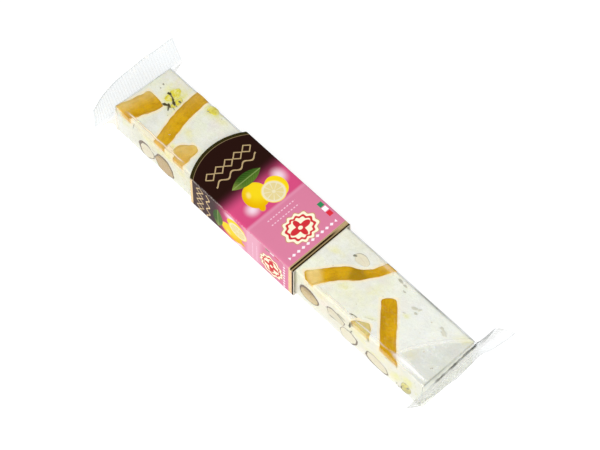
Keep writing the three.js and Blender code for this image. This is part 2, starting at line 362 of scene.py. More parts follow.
def makeStudio():
    # an even sky, three softboxes, and a floor that glows a little so that it stays pale
    world = bpy.data.worlds.new("studio")
    bpy.context.scene.world = world
    world.use_nodes = True
    sky = world.node_tree.nodes["Background"]
    sky.inputs["Color"].default_value = studio["sky"]
    sky.inputs["Strength"].default_value = studio["skyStrength"]
    for name, settings in studio["softboxes"].items():
        addSoftbox(name, *settings)

    paint = Paint("paper floor")
    place = paint.millimetres()
    grain = paint.noise(place, 1.4, 4)
    colour = paint.mix(grain, (0.28, 0.28, 0.28), (0.32, 0.32, 0.32))
    shader = paint.surface(Base_Color=colour, Roughness=0.9, Specular_IOR_Level=0.1,
                           Emission_Color=(1, 1, 1, 1), Emission_Strength=studio["floorGlow"])
    material = paint.finish(shader)
    steps = np.linspace(-1, 1, studio["floorPoints"]) * studio["floorReach"]
    x, y = np.meshgrid(steps, steps, indexing="ij")
    mesh = bpy.data.meshes.new("floor")
    points = np.stack([x, y, np.full_like(x, -studio["floorDrop"])], -1).reshape(-1, 3) / 1000
    mesh.from_pydata(points.tolist(), [], gridFaces(*x.shape).tolist())
    mesh.materials.append(material)
    floor = bpy.data.objects.new("floor", mesh)
    bpy.context.scene.collection.objects.link(floor)


makeCamera()
makeStudio()
print("camera, light and floor made")


peel = {
    "thickness": 4.3,
    "proud": 0.1,  # how far it stands out of the nougat
    "squareness": 12.5,
    "endRound": 1.4,
    "rings": 110,
    "deep": (0.57, 0.30, 0.002),
    "bright": (0.70, 0.39, 0.006),
    "pith": (0.86, 0.65, 0.24),
    # x, y and width of each strip along its way in mm, and how pale it is there
    "strips": [
        [[-81.3, 0.4, 10.6, 0.25], [-81.5, -2.2, 11, 0.2], [-83.0, -7, 10, 0.2], [-86.0, -16, 9.2, 0.45]],
        [[-68.4, 17, 7, 0.3], [-68.1, 8, 7.2, 0.16], [-67, 0, 7, 0.05], [-64.9, -8, 6.9, 0.1],
         [-62.8, -17, 6.2, 0.2]],
        [[-52.4, -4.0, 4.0, 0.55], [-52.6, -6.4, 5.8, 0.5], [-53.8, -9.9, 8.9, 0.55],
         [-52.5, -13, 6.6, 0.35], [-52, -17, 5.4, 0.5]],
        [[22.8, -14, 7.8, -0.1], [23.5, -12.9, 7.8, 0.6], [25.2, -10.3, 7.1, 0.8], [27.9, -6.2, 6.9, -0.1],
         [32, -1, 6.8, -0.1], [35.9, 2.1, 5.8, -0.6], [38.7, 5.6, 4.3, -0.15], [40.8, 9, 4.5, 0.05],
         [43.8, 17, 5.2, 0.75]],
        [[52.2, 3.4, 6.8, 0.05], [58.3, -2.6, 7.2, -0.15], [62.5, -7.1, 7.1, -0.1], [66.6, -11.3, 6.9, 0.0],
         [72.5, -17, 7.2, 0.1]],
        [[55.0, -10.2, 2.4, 1.3], [54.7, -11.7, 5.8, 1.25], [54.3, -13, 9.0, 1.2], [54.1, -14.4, 10.4, 1.1],
         [54.2, -17, 10.4, 1.0]],
    ],
    # how much paler each strip is on its one side than in its middle
    "lean": [-0.5, -0.12, -0.1, 0.12, 0.1, 0.0],
    # height below which each strip's cut end is pale
    "fade": [16.1, 17.6, 17.0, 18.1, 16.2, 16.6],
}

# face, place on it, width and height of the cut, turn in degrees, how brown the flesh is, how thick its
# skin is, and the side in degrees where the skin is thickest
almonds = {
    "seed": 7,
    "depth": 6,
    "proud": 0.04,
    "cream": (0.82, 0.77, 0.59),
    "brown": (0.56, 0.40, 0.14),
    "skin": (0.15, 0.09, 0.055),
    "cuts": [
        ("front", -71.7, 5.6, 9.8, 9.8, 20, 0.15, 0.80, 130),
        ("front", -60.7, 6.0, 12.4, 10.8, -32, 1.0, 0.65, 100),
        ("front", 25.2, 8.5, 11.2, 10.0, 0, 0.9, 0.85, 90),
        ("front", 40.4, 11.3, 10.6, 7, -6, 0.15, 0.36, 98),
        ("front", 48.3, 5.1, 10.4, 9.0, 20, 0.1, 0.5, -40),
        ("front", 64, 4.0, 13.4, 7.2, -10, 0.2, 0.45, 262),
        ("back", -80, 7.5, 10.5, 9, 15, 0.15, 0.4, 60),
        ("back", -58.5, 6.8, 12, 8.5, -12, 0.8, 0.4, 120),
        ("back", 26.5, 8.5, 11, 10, 30, 0.1, 0.5, 40),
        ("back", 51, 6.8, 12.5, 8.5, 8, 0.25, 0.45, 200),
        ("back", 66, 9.3, 10.5, 9.5, -30, 0.15, 0.35, 100),
        ("top", 32.4, 8.1, 7.6, 4.6, 0, 0.08, 0.12, 120),
        ("under", -68, 3, 12, 8, 20, 0.3, 0.4, 0),
        ("under", 38, -0.5, 11, 8, -35, 0.6, 0.5, 90),
        ("under", 72, 2.5, 12, 8, 10, 0.2, 0.4, 200),
        ("back", 38.3, 8.4, 9.4, 8, -12, 0.15, 0.45, 70),
        ("left", -4.5, 9.5, 10, 8.5, -15, 0.2, 0.4, 150),
    ],
}
pistachios = {
    "seed": 10,
    "depth": 3.2,
    "proud": 0.04,
    "green": (0.70, 0.58, 0.03),
    "yellow": (0.86, 0.78, 0.11),
    "skin": (0.14, 0.10, 0.03),
    "cuts": [
        ("top", -77.3, 6.3, 4.4, 8.4, 0, 0.1, 0.05, 180),
        ("top", -73.4, 4.6, 2.9, 6.4, 0, 0.3, 0.1, 60),
        ("top", -60.3, 13, 5.5, 3.8, 8, 0.35, 0.0, 200),
        ("front", 80.3, 5.1, 5.6, 7.8, -15, 0.6, 0.4, 250),
        ("back", 79.5, 7.5, 6, 5, 25, 0.3, 0.3, 90),
        ("back", -50, 9.5, 4.5, 6, 0, 0.2, 0.25, 30),
    ],
}

# a point of each face, and the ways "across" and "up" run on it as seen from outside
barFaces = {
    "front": ((0, -halfY, 0), (1, 0, 0), (0, 0, 1)),
    "back": ((0, halfY, 0), (-1, 0, 0), (0, 0, 1)),
    "top": ((0, 0, top), (1, 0, 0), (0, 1, 0)),
    "under": ((0, 0, top - 2 * halfZ), (1, 0, 0), (0, -1, 0)),
    "right": ((halfX, 0, 0), (0, 1, 0), (0, 0, 1)),
    "left": ((-halfX, 0, 0), (0, -1, 0), (0, 0, 1)),
}


def onFace(face, first, second):
    # the point of a face whose two coordinates are first and second, and its ways across, up and in
    origin, across, up = (np.array(v, float) for v in barFaces[face])
    centre = origin + across * first * across.sum() + up * second * up.sum()
    return centre, across, up, np.cross(up, across)


def nearPeel(points):
    # distance in mm from each point to the nearest strip, below 0 inside it: how far it is to the side
    # of the strip's middle line, less half the width there, or how far beyond its end
    best = np.full(len(points), 99.0)
    for stations in peel["strips"]:
        line = smoothLine(stations, np.linspace(0, 1, 120))
        way = np.gradient(line[:, :2], axis=0)
        way /= np.linalg.norm(way, axis=1, keepdims=True)
        nearest = np.hypot(points[:, :1] - line[:, 0], points[:, 1:2] - line[:, 1]).argmin(1)
        off = points[:, :2] - line[nearest, :2]
        beyond = np.abs((off * way[nearest]).sum(1))
        aside = np.abs(off[:, 0] * way[nearest, 1] - off[:, 1] * way[nearest, 0]) - line[nearest, 2] / 2
        gap = np.where(beyond > 0.4, np.hypot(beyond, np.maximum(aside, 0)), aside)
        depth = np.maximum(top - peel["thickness"] - points[:, 2], 0)
        outside = (gap > 0) | (depth > 0)
        best = np.minimum(best, np.where(outside, np.hypot(np.maximum(gap, 0), depth), gap))
    return best


# soft stains in the nougat: face, place on it, half width and height, turn, and how much yellow and green
stains = [
    ("top", 40, -7, 10, 5, 10, 0.09, 0.07), ("top", 24, 12, 6, 3, 0, 0.08, 0.05),
    ("top", -60, 13.0, 3.6, 2.6, 10, 0.75, 0.8), ("top", -59.5, -1.5, 3.2, 1.6, -20, 0.45, 0.1),
    ("top", -54, 12, 3, 1.4, 15, 0.3, 0.2), ("top", -75.6, 5.6, 4.4, 5.4, 20, 1.0, 0.6),
    ("top", -58.6, -10.6, 1.6, 1.2, 0, 0.9, 0.5), ("top", 22, 3.5, 3, 1.4, 20, 0.3, 0.25),
    ("top", 35.5, -5.5, 3.2, 2, 40, 0.35, 0.3), ("top", 46, 2, 2.4, 4, -20, 0.25, 0.1),
    ("top", 86, 12.5, 1.8, 3.6, -50, 0.3, 0.3), ("top", 76, -8, 3, 2, 0, 0.3, 0.0),
    ("top", 62.5, 3, 1.4, 0.9, 20, 0.2, 0.5), ("top", 54, -7.6, 2.6, 0.8, 25, 0.2, 0.4),
    ("front", -58.6, 16.6, 3.4, 2.4, 30, 0.9, 0.4), ("front", -70, 15, 4, 3, -20, 0.45, 0.1),
    ("front", -84.5, 13, 2.4, 3.4, 10, 0.5, 0.0), ("front", -50.5, 13, 3, 2.6, 0, 0.6, 0.0),
    ("front", 31, 16, 3.4, 2.4, 30, 0.5, 0.0), ("front", 55, 12, 3, 2, -30, 0.5, 0.1),
    ("front", 75, 8, 2.6, 2, 40, 0.5, 0.5), ("front", 66, 12.4, 4, 2.4, -10, 0.3, 0.0),
    ("front", 53, 15.0, 4.6, 2.6, 12, 0.7, 0.0), ("front", 81, 11.5, 3, 3, 0, 0.6, 0.6),
    ("front", -53, 15.5, 4, 2.2, 0, 0.8, 0.1), ("front", -64, 14.5, 3, 2.4, 30, 0.6, 0.4),
    ("front", 62, 8.6, 5, 1.6, 10, 0.4, 0.2), ("front", 73, 5.5, 3, 3.4, 0, 0.5, 0.0),
    ("back", -70, 13, 5, 3, 10, 0.5, 0.1), ("back", 34, 14, 4, 2, -20, 0.4, 0.2),
    ("back", 76, 5, 3, 3, 0, 0.4, 0.5), ("back", -50, 11, 4, 3, 0, 0.3, 0.6),
    ("under", -20, 0, 8, 4, 0, 0.3, 0.0), ("under", 55, 3, 6, 4, 20, 0.4, 0.2),
]


def stainAt(points, kind):
    # strongest of the soft ellipses that touch a point: exp(-distance^2) of each, on its own face only
    best = np.zeros(len(points))
    for face, first, second, wide, tall, turn, *amounts in stains:
        centre, across, up, inward = onFace(face, first, second)
        away = points - centre
        u, v = turned(away @ (across * across.sum()), away @ (up * up.sum()), -turn)
        near = np.abs(away @ inward) < 1.0
        rough = 1 + 0.35 * ripple(points, 3.5, 77)
        best = np.maximum(best, amounts[kind] * np.exp(-((u / wide)**2 + (v / tall)**2) * rough) * near)
    return best


def nougatBlock():
    # the block's six faces as grids; near an edge a grid point moves onto the rounding, and all
    # faces sink by the low waves and a fine unevenness
    corner = bar["round"] * np.tan(np.radians(np.linspace(45, 0, 5)[:-1]))
    axes = []
    for half in bar["half"]:
        straight = half - bar["round"]
        flat = np.linspace(-1, 1, int(2 * straight / bar["grid"])) * straight
        edge = straight + corner
        axes.append(np.concatenate([-edge, flat, edge[::-1]]))
    points, quads, count = [], [], 0
    for axis in range(3):
        u, v = (axis + 1) % 3, (axis + 2) % 3
        a, b = np.meshgrid(axes[u], axes[v], indexing="ij")
        for side in (-1, 1):
            face = np.zeros((*a.shape, 3))
            face[..., axis], face[..., u], face[..., v] = side * bar["half"][axis], a, b
            grid = gridFaces(*a.shape)
            quads.append((grid if side > 0 else grid[:, ::-1]) + count)
            points.append(face.reshape(-1, 3))
            count += a.size
    points, quads = np.concatenate(points), np.concatenate(quads)
    core = np.array(bar["half"]) - bar["round"]
    inner = np.clip(points, -core, core)
    out = points - inner
    out /= np.linalg.norm(out, axis=1, keepdims=True)
    # the lower edges are squarer: |out|^n adds up to 1 with n = 5 there, and 2 elsewhere
    power = 2 + 3 * ease(-points[:, 2:], 6.5, 8.4)
    out = squared(out, power)
    points = inner + out * (bar["round"] - sinkAt(points + (0, 0, bar["middle"])))[:, None]
    points[:, 0] += leanAt(points[:, 0], points[:, 1])
    points[:, 2] += bar["middle"]
    return points, quads


def nougatMaterial():
    # off-white, mottled in patches of three sizes; then stains, rims round the peel and flecks, mixed over
    # it
    paint = Paint("nougat")
    place = paint.millimetres()
    x, y, z = paint.parts(place)
    onSide = paint.step(abs(y), 13.7, 14.2)
    cloud = paint.step(paint.noise(place, 11, 4, 0.6), 0.40, 0.60)
    patch = paint.step(paint.noise(place, 4.2, 5, 0.65), 0.42, 0.60)
    crumb = paint.step(paint.noise(place, 1.1, 3, 0.6), 0.35, 0.7)
    colour = paint.mix(cloud, bar["grey"], bar["yellowish"])
    colour = paint.mix(patch * 0.55, colour, bar["pale"])
    colour = paint.mix(crumb * 0.3, colour, (0.72, 0.71, 0.57))
    blush = paint.step(paint.noise(paint.vector(x, y + 40, z), 9, 4, 0.6), 0.50, 0.66)
    colour = paint.mix(blush * 0.6, colour, (0.80, 0.74, 0.67))
    # paler and less yellow from x = 40 to 70: a painted sheen of the film
    colour = paint.mix(paint.step(x, 40, 70) * 0.6, colour, (0.83, 0.84, 0.795))
    # the cut sides are a little warmer than the pressed top
    colour = paint.mix(onSide * 0.9, colour, (0.955, 0.93, 0.86), "MULTIPLY")
    # the right end face is darker: painted shade
    colour = paint.mix(paint.step(x, 88.3, 89.0), colour, (0.93, 0.93, 0.90), "MULTIPLY")
    warm = onSide * paint.between(x, 26.0, 78.0, 6.0) * (0.18 + blush * 0.4)
    colour = paint.mix(warm, colour, (0.92, 0.80, 0.66))
    fair = paint.high(paint.step(x, -76, -87) * 0.6, paint.step(z, 6, 1.5) * 0.4) * onSide
    colour = paint.mix(fair, colour, (0.87, 0.87, 0.83))
    # yellow and green stains, ragged by a fine noise
    ragged = 0.55 + paint.step(paint.noise(place, 1.6, 4, 0.7), 0.35, 0.65) * 0.75
    colour = paint.mix(paint.value("yellow") * ragged, colour, (0.86, 0.78, 0.30))
    colour = paint.mix(paint.value("green") * ragged, colour, (0.74, 0.73, 0.22))
    # a thin pale orange line round each strip
    near = paint.value("nearPeel")
    colour = paint.mix(paint.step(near, 1.3, 0.0) * 0.8, colour, (0.96, 0.82, 0.55))
    # flecks of brown skin: the middles of the few cells whose own number is high
    fleck = paint.cells(place, 1 / 0.42)
    number = paint.parts(Wire(paint, fleck.socket.node.outputs[1]))[0]
    brown = paint.step(fleck, 0.16, 0.06) * paint.step(number, 0.86, 0.90)
    colour = paint.mix(brown * 0.6, colour, (0.42, 0.30, 0.16))
    pores = paint.step(paint.cells(place, 0.9), 0.05, 0.3)
    height = paint.noise(place, 3.2, 4, 0.6) * 0.7 + paint.noise(place, 0.5, 2) * 0.2 + pores * 0.1
    normal = paint.bump(height, 0.35, 0.8)
    rough = paint.step(patch, 0, 1, 0.62, 0.48)
    shader = paint.surface(Base_Color=colour, Roughness=rough, Normal=normal, Subsurface_Weight=0.3,
                           Subsurface_Radius=(1.0, 0.85, 0.6), Subsurface_Scale=0.0015,
                           Specular_IOR_Level=0.4)
    return paint.finish(shader)


points, faces = nougatBlock()
values = {"nearPeel": nearPeel(points), "yellow": stainAt(points, 0), "green": stainAt(points, 1)}
nougat = makePiece("nougat_block", points, faces, [nougatMaterial()], values)
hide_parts("nougat")
print("nougat made,", len(nougat.data.polygons), "faces")


def peelSection():
    # evenly spaced points of a square, drawn in until |across|^n + |rise|^n = 1
    side = [(1.0, rise) for rise in np.linspace(-1, 1, 9)[:-1]]
    lid = [(across, 1.0) for across in np.linspace(1, -1, 21)[:-1]]
    half = np.array(side + lid)
    return squared(np.concatenate([half, -half]), peel["squareness"]).T


def peelStick(stations, number):
    # a rounded-square section carried along the strip's curve; its top lies in the nougat's top, a
    # loose end is rounded off, and an end that reaches a face of the bar is cut along that face
    line = smoothLine(stations, np.linspace(0, 1, 400))
    limit = halfY + peel["proud"]
    line = line[np.abs(line[:, 1]) <= limit + 0.05]
    cutStart, cutEnd = (abs(line[last, 1]) > limit - 0.3 for last in (0, -1))
    even = np.linspace(0, 1, peel["rings"])
    line = np.stack([np.interp(even, np.linspace(0, 1, len(line)), part) for part in line.T], -1)
    way = np.gradient(line[:, :2], axis=0)
    way /= np.linalg.norm(way, axis=1, keepdims=True)
    run = np.concatenate([[0], np.cumsum(np.linalg.norm(np.diff(line[:, :2], axis=0), axis=1))])
    width = line[:, 2] / 2

    # a loose end's corners are rounded: width - r + sqrt(r^2 - (r - way gone)^2)
    narrow = np.ones(peel["rings"])
    back = [run, run[-1] - run]
    for isCut, gone in zip((cutStart, cutEnd), back):
        if not isCut:
            lost = np.clip(1 - gone / peel["endRound"], 0, 1)
            narrow -= np.minimum(peel["endRound"] / width, 0.8) * (1 - np.sqrt(1 - lost**2))
    across, rise = peelSection()
    nick = 1 + 0.035 * ripple(np.stack(np.broadcast_arrays(run[:, None], across * 30), -1), 6, number, 8)
    side = across[None, :] * nick * (width * narrow)[:, None]
    deep = peel["thickness"] / 2
    bulge = (0 if cutStart else 0.25) * ease(-run, -3, 0)[:, None] * (1 - across[None, :]**2)
    x = line[:, :1] - way[:, 1:2] * side - way[:, :1] * bulge
    y = line[:, 1:2] + way[:, :1] * side - way[:, 1:2] * bulge

    # towards a cut end each point slides along the strip until the last ring lies in the face
    for isCut, gone, last in zip((cutStart, cutEnd), back, (0, -1)):
        if isCut:
            plane = np.sign(line[last, 1]) * limit
            tilt = way[:, 1:2]
            slide = (line[:, 1:2] - y) / np.where(np.abs(tilt) < 0.2, 0.2, tilt)
            share = ease(-gone, -9, 0)[:, None]
            x, y = x + slide * share * way[:, :1], y + slide * share * tilt
            y = np.where(gone[:, None] < 1e-6, plane, y)
    onTop = np.stack(np.broadcast_arrays(x, y, top), -1)
    uneven = 0.018 * ripple(onTop[..., :2], 4, number + 9)
    lifted = (peel["proud"] + uneven) * (rise[None, :] > 0.6)
    z = top - deep + rise[None, :] * deep + lifted - sinkAt(onTop)
    onSide = np.stack([x, np.sign(y) * halfY, z], -1)
    y = np.sign(y) * np.minimum(np.abs(y), halfY + peel["proud"] - sinkAt(onSide))
    leftEnd = leanAt(-halfX, np.clip(y, -halfY, halfY)) - halfX + 0.04
    x = np.maximum(x, leftEnd)
    points = np.stack([x, y, z], -1)

    # both ends are closed by smaller and smaller rings round their middle
    shrink = np.array([0.66, 0.33, 0.0])
    ends = []
    for last in (0, -1):
        centre = points[last].mean(0)
        ends.append(centre + (points[last] - centre) * shrink[:, None, None])
    points = np.concatenate([ends[0][::-1], points, ends[1]])
    own = np.pad(np.arange(len(run)), len(shrink), "edge")
    inner = np.concatenate([shrink[::-1], np.ones(len(run)), shrink])
    spread = across[None, :] * inner[:, None]
    plain = np.ones_like(spread)
    return points, {
        "along": run[own][:, None] * plain,
        "pale": line[own, 3:4] + peel["lean"][number - 1] * spread,
        "across": spread,
        "fade": peel["fade"][number - 1] * plain,
    }


def peelMaterial():
    # amber in broad patches, with fibres along the strip; pale mixes it towards pale pith above 0 and
    # towards dark syrup below 0
    paint = Paint("candied peel")
    place = paint.millimetres()
    along, across, pale, fade = (paint.value(key) for key in ("along", "across", "pale", "fade"))
    x, z = paint.parts(place)[::2]
    broad = paint.step(paint.noise(place, 5.5, 3), 0.36, 0.64)
    fibre = paint.noise(paint.vector(along * 0.35, across * 5, z), 1.0, 3, 0.6)
    strand = paint.step(paint.noise(paint.vector(along * 0.3 + 9, across * 2.6, z), 1.0, 4, 0.7), 0.50, 0.66)
    cells = paint.cells(place, 0.8)
    colour = paint.mix(broad, peel["deep"], peel["bright"])
    colour = paint.mix(paint.step(fibre, 0.42, 0.72) * 0.45, colour, (0.74, 0.45, 0.008))
    colour = paint.mix(strand * 0.35, colour, (0.42, 0.20, 0.002))
    colour = paint.mix(paint.step(cells, 0.5, 0.15) * 0.2, colour, (0.46, 0.22, 0.003))
    colour = paint.mix(paint.step(pale, 0.0, -0.5) * 0.8, colour, (0.33, 0.18, 0.002))
    blotch = paint.step(paint.noise(place, 3, 3), 0.3, 0.7) * 0.35 + 0.75
    colour = paint.mix(paint.step(pale, 0.0, 1.0) * blotch, colour, peel["pith"])
    colour = paint.mix(paint.step(pale, 1.0, 1.2) * 0.9, colour, (0.61, 0.51, 0.20))
    # painted shade: a darker band just inside the strip's edges, broken by noise
    hem = paint.between(abs(across), 0.70, 0.93, 0.10) * paint.step(paint.noise(place, 4, 2), 0.35, 0.6)
    colour = paint.mix(hem * 0.35, colour, (0.42, 0.20, 0.006))
    # the edges let more light through, and the cut ends fade into the nougat
    edge = paint.step(abs(across), 0.82, 1.0)
    colour = paint.mix(edge * 0.5, colour, (0.90, 0.64, 0.24))
    colour = paint.mix(paint.step(z - fade, 0.5, -1.2) * 0.92, colour, (0.89, 0.82, 0.57))
    leftEnd = paint.step(x, -85.0, -88.5) * paint.step(z, 18.7, 18.3)
    colour = paint.mix(leftEnd * 0.7, colour, (0.89, 0.84, 0.68))
    height = paint.noise(place, 1.6, 3) * 0.6 + fibre * 0.3 + cells * 0.1
    normal = paint.bump(height, 0.3, 0.8)
    shader = paint.surface(Base_Color=colour, Roughness=0.32, Normal=normal, Subsurface_Weight=0.3,
                           Subsurface_Radius=(1.0, 0.5, 0.08), Subsurface_Scale=0.001, Coat_Weight=0.02,
                           Coat_Roughness=0.2, Specular_IOR_Level=0.12)
    return paint.finish(shader)


amber = peelMaterial()
for number, stations in enumerate(peel["strips"], 1):
    strip = makeTube(f"peel_{number}", peelStick(stations, number), amber)
    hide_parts(f"peel_strip_{number}")
print("peel made")


def ontoRounding(points):
    # what would reach past the bar's lower edge is drawn in onto its rounding, where the fifth powers of
    # the way down and of the way out add up to 1
    low = (top - 2 * halfZ + bar["round"] - points[..., 2]) / bar["round"]
    side = (np.abs(points[..., 1]) - halfY + bar["round"] - 0.04) / bar["round"]
    reach = np.maximum((np.clip(low, 0, None)**5 + np.clip(side, 0, None)**5)**0.2, 1)
    up = np.where(low > 0, (low - low / reach) * bar["round"], 0)
    inwards = np.where((low > 0) & (side > 0), (side - side / reach) * bar["round"], 0)
    points[..., 2] += up
    points[..., 1] -= inwards * np.sign(points[..., 1])


def nutHalf(cut, style, seed):
    # an ellipse with one end more pointed: flat and flush where the knife went through it, and
    # shrinking as the root of 1 - level squared towards its hidden inner end
    face, first, second, wide, tall, turn, brown, skin, dark = cut
    centre, across, up, inward = onFace(face, first, second)
    cutShare = [0, 0.25, 0.5, 0.7, 0.84, 0.92, 0.97, 1.0, 1.0]
    cutSink = np.array([0, 0, 0, 0, 0, 0, 0.02, 0.09, 0.3]) - style["proud"]
    level = np.linspace(0.12, 1, 9)
    share = np.concatenate([cutShare, np.sqrt(1 - level**2)])[:, None]
    sink = np.concatenate([cutSink, level * style["depth"]])[:, None]
    angle = np.arange(72) / 72 * 2 * np.pi
    wobble = raggedAt(angle, np.random.default_rng(seed), 0.03, (2, 3, 4, 5, 7))
    long = wide / 2 * np.cos(angle) * wobble
    short = tall / 2 * np.sin(angle) * (1 - 0.16 * np.cos(angle)) * wobble
    u, v = (part * share for part in turned(long, short, turn))
    points = centre + u[..., None] * across + v[..., None] * up + sink[..., None] * inward
    points += inward * sinkAt(points)[..., None]
    if face in ("front", "back"):
        ontoRounding(points)
    plain = np.ones_like(u)
    facing = (1 + np.cos(angle - np.radians(dark))) / 2
    return points, {
        "rim": ((1 - share) * min(wide, tall) / 2 - (sink > 0.05) * 0.2) * plain,
        "long": long * share,
        "short": short * share,
        "brown": brown * plain,
        "skin": skin * (0.34 + 0.66 * facing**2) * plain,
    }


def joined(shapes):
    # the points, faces and values of several ringed shapes as those of one
    points, faces, values, count = [], [], {}, 0
    for shape, own in shapes:
        points.append(shape.reshape(-1, 3))
        faces.append(gridFaces(*shape.shape[:2], closedColumns=True) + count)
        count += len(points[-1])
        for key, numbers in own.items():
            values.setdefault(key, []).append(numbers.ravel())
    values = {key: np.concatenate(numbers) for key, numbers in values.items()}
    return np.concatenate(points), np.concatenate(faces), values


def makeNuts(name, style, material, nodeName):
    # all cut nuts of one kind are one piece, which replaces a node for each of them
    cuts = style["cuts"]
    nuts = [nutHalf(cut, style, number + style["seed"]) for number, cut in enumerate(cuts, 1)]
    points, faces, values = joined(nuts)
    piece = makePiece(name, points, faces, [material], values)
    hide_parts(*(f"{nodeName}_{number}" for number in range(1, len(cuts) + 1)))


def almondMaterial():
    # flesh from cream to brown, and skin where the distance from the rim is less than its thickness
    paint = Paint("cut almond")
    place = paint.millimetres()
    x, z = paint.parts(place)[::2]
    rim, long, short, brown, skin = (paint.value(key) for key in ("rim", "long", "short", "brown", "skin"))
    grain = paint.noise(place, 1.3, 4, 0.6)
    cloud = paint.step(paint.noise(place, 3.2, 3), 0.35, 0.65)
    flesh = paint.mix(brown, almonds["cream"], almonds["brown"])
    patch = paint.mix(brown, (0.86, 0.80, 0.66), (0.62, 0.42, 0.26))
    flesh = paint.mix(cloud * (0.25 + brown * 0.25), flesh, patch)
    flesh = paint.mix(paint.step(grain, 0.42, 0.68) * (0.3 - brown * 0.2), flesh, (0.88, 0.82, 0.66))
    # a brown nut is darker towards the upper side of its cut, and paler below if it lies to the right
    lower = paint.step(z, 8.0, 5.0) * brown * paint.step(x, 0, 20, 0.0, 0.45)
    flesh = paint.mix(lower, flesh, (0.80, 0.66, 0.38))
    flesh = paint.mix(brown * paint.step(x, -40, -50) * 0.35, flesh, (0.42, 0.28, 0.14))
    flesh = paint.mix(paint.step(z, 8.2, 11.4) * brown * 0.8, flesh, (0.36, 0.24, 0.08))
    # the seam between the two halves of the nut
    split = paint.step(abs(short + paint.wave(long * 0.5) * 0.3), 0.22, 0.05) * paint.step(rim, 0.7, 1.6)
    flesh = paint.mix(split * 0.3, flesh, (0.60, 0.47, 0.30))
    ragged = (paint.noise(place, 1.8, 3) - 0.5) * 0.5
    edge = paint.step(rim - skin * (1.9 + ragged * 2), 0.16, -0.10)
    colour = paint.mix(edge * paint.step(skin, -0.05, 0.18) * 0.9, flesh, almonds["skin"])
    normal = paint.bump(grain * 0.6 + edge * 0.4, 0.2, 0.6)
    shader = paint.surface(Base_Color=colour, Roughness=0.45, Normal=normal, Subsurface_Weight=0.2,
                           Subsurface_Radius=(1.0, 0.75, 0.5), Subsurface_Scale=0.001,
                           Specular_IOR_Level=0.1)
    return paint.finish(shader)


def pistachioMaterial():
    # yellow-green flesh with pale patches, blots where it is half brown, and a thin dark skin
    paint = Paint("cut pistachio")
    place = paint.millimetres()
    rim, brown, skin = paint.value("rim"), paint.value("brown"), paint.value("skin")
    grain = paint.noise(place, 1.0, 4, 0.6)
    flesh = paint.mix(paint.step(grain, 0.35, 0.65), pistachios["green"], pistachios["yellow"])
    pale = paint.step(paint.noise(place, 2.0, 3), 0.46, 0.62)
    flesh = paint.mix(pale * 0.5, flesh, (0.88, 0.83, 0.42))
    flesh = paint.mix(paint.step(brown, 0.5, 1.0) * 0.55, flesh, (0.80, 0.77, 0.50))
    halfBrown = paint.step(brown, 0.2, 0.6) * paint.step(brown, 0.9, 0.7)
    blot = paint.step(paint.noise(place, 2.2, 3), 0.38, 0.52) * halfBrown
    flesh = paint.mix(blot * 0.7, flesh, (0.42, 0.36, 0.16))
    edge = paint.step(rim - skin * (0.5 + paint.noise(place, 1.5, 2)), 0.10, -0.10)
    edge = edge * paint.step(skin, 0.0, 0.1)
    colour = paint.mix(edge * 0.75, flesh, pistachios["skin"])
    normal = paint.bump(grain, 0.25, 0.6)
    shader = paint.surface(Base_Color=colour, Roughness=0.42, Normal=normal, Subsurface_Weight=0.15,
                           Subsurface_Radius=(1.0, 0.9, 0.3), Subsurface_Scale=0.001, Specular_IOR_Level=0.2)
    return paint.finish(shader)


makeNuts("almonds", almonds, almondMaterial(), "almond")
makeNuts("pistachios", pistachios, pistachioMaterial(), "pistachio")
print("nuts made")


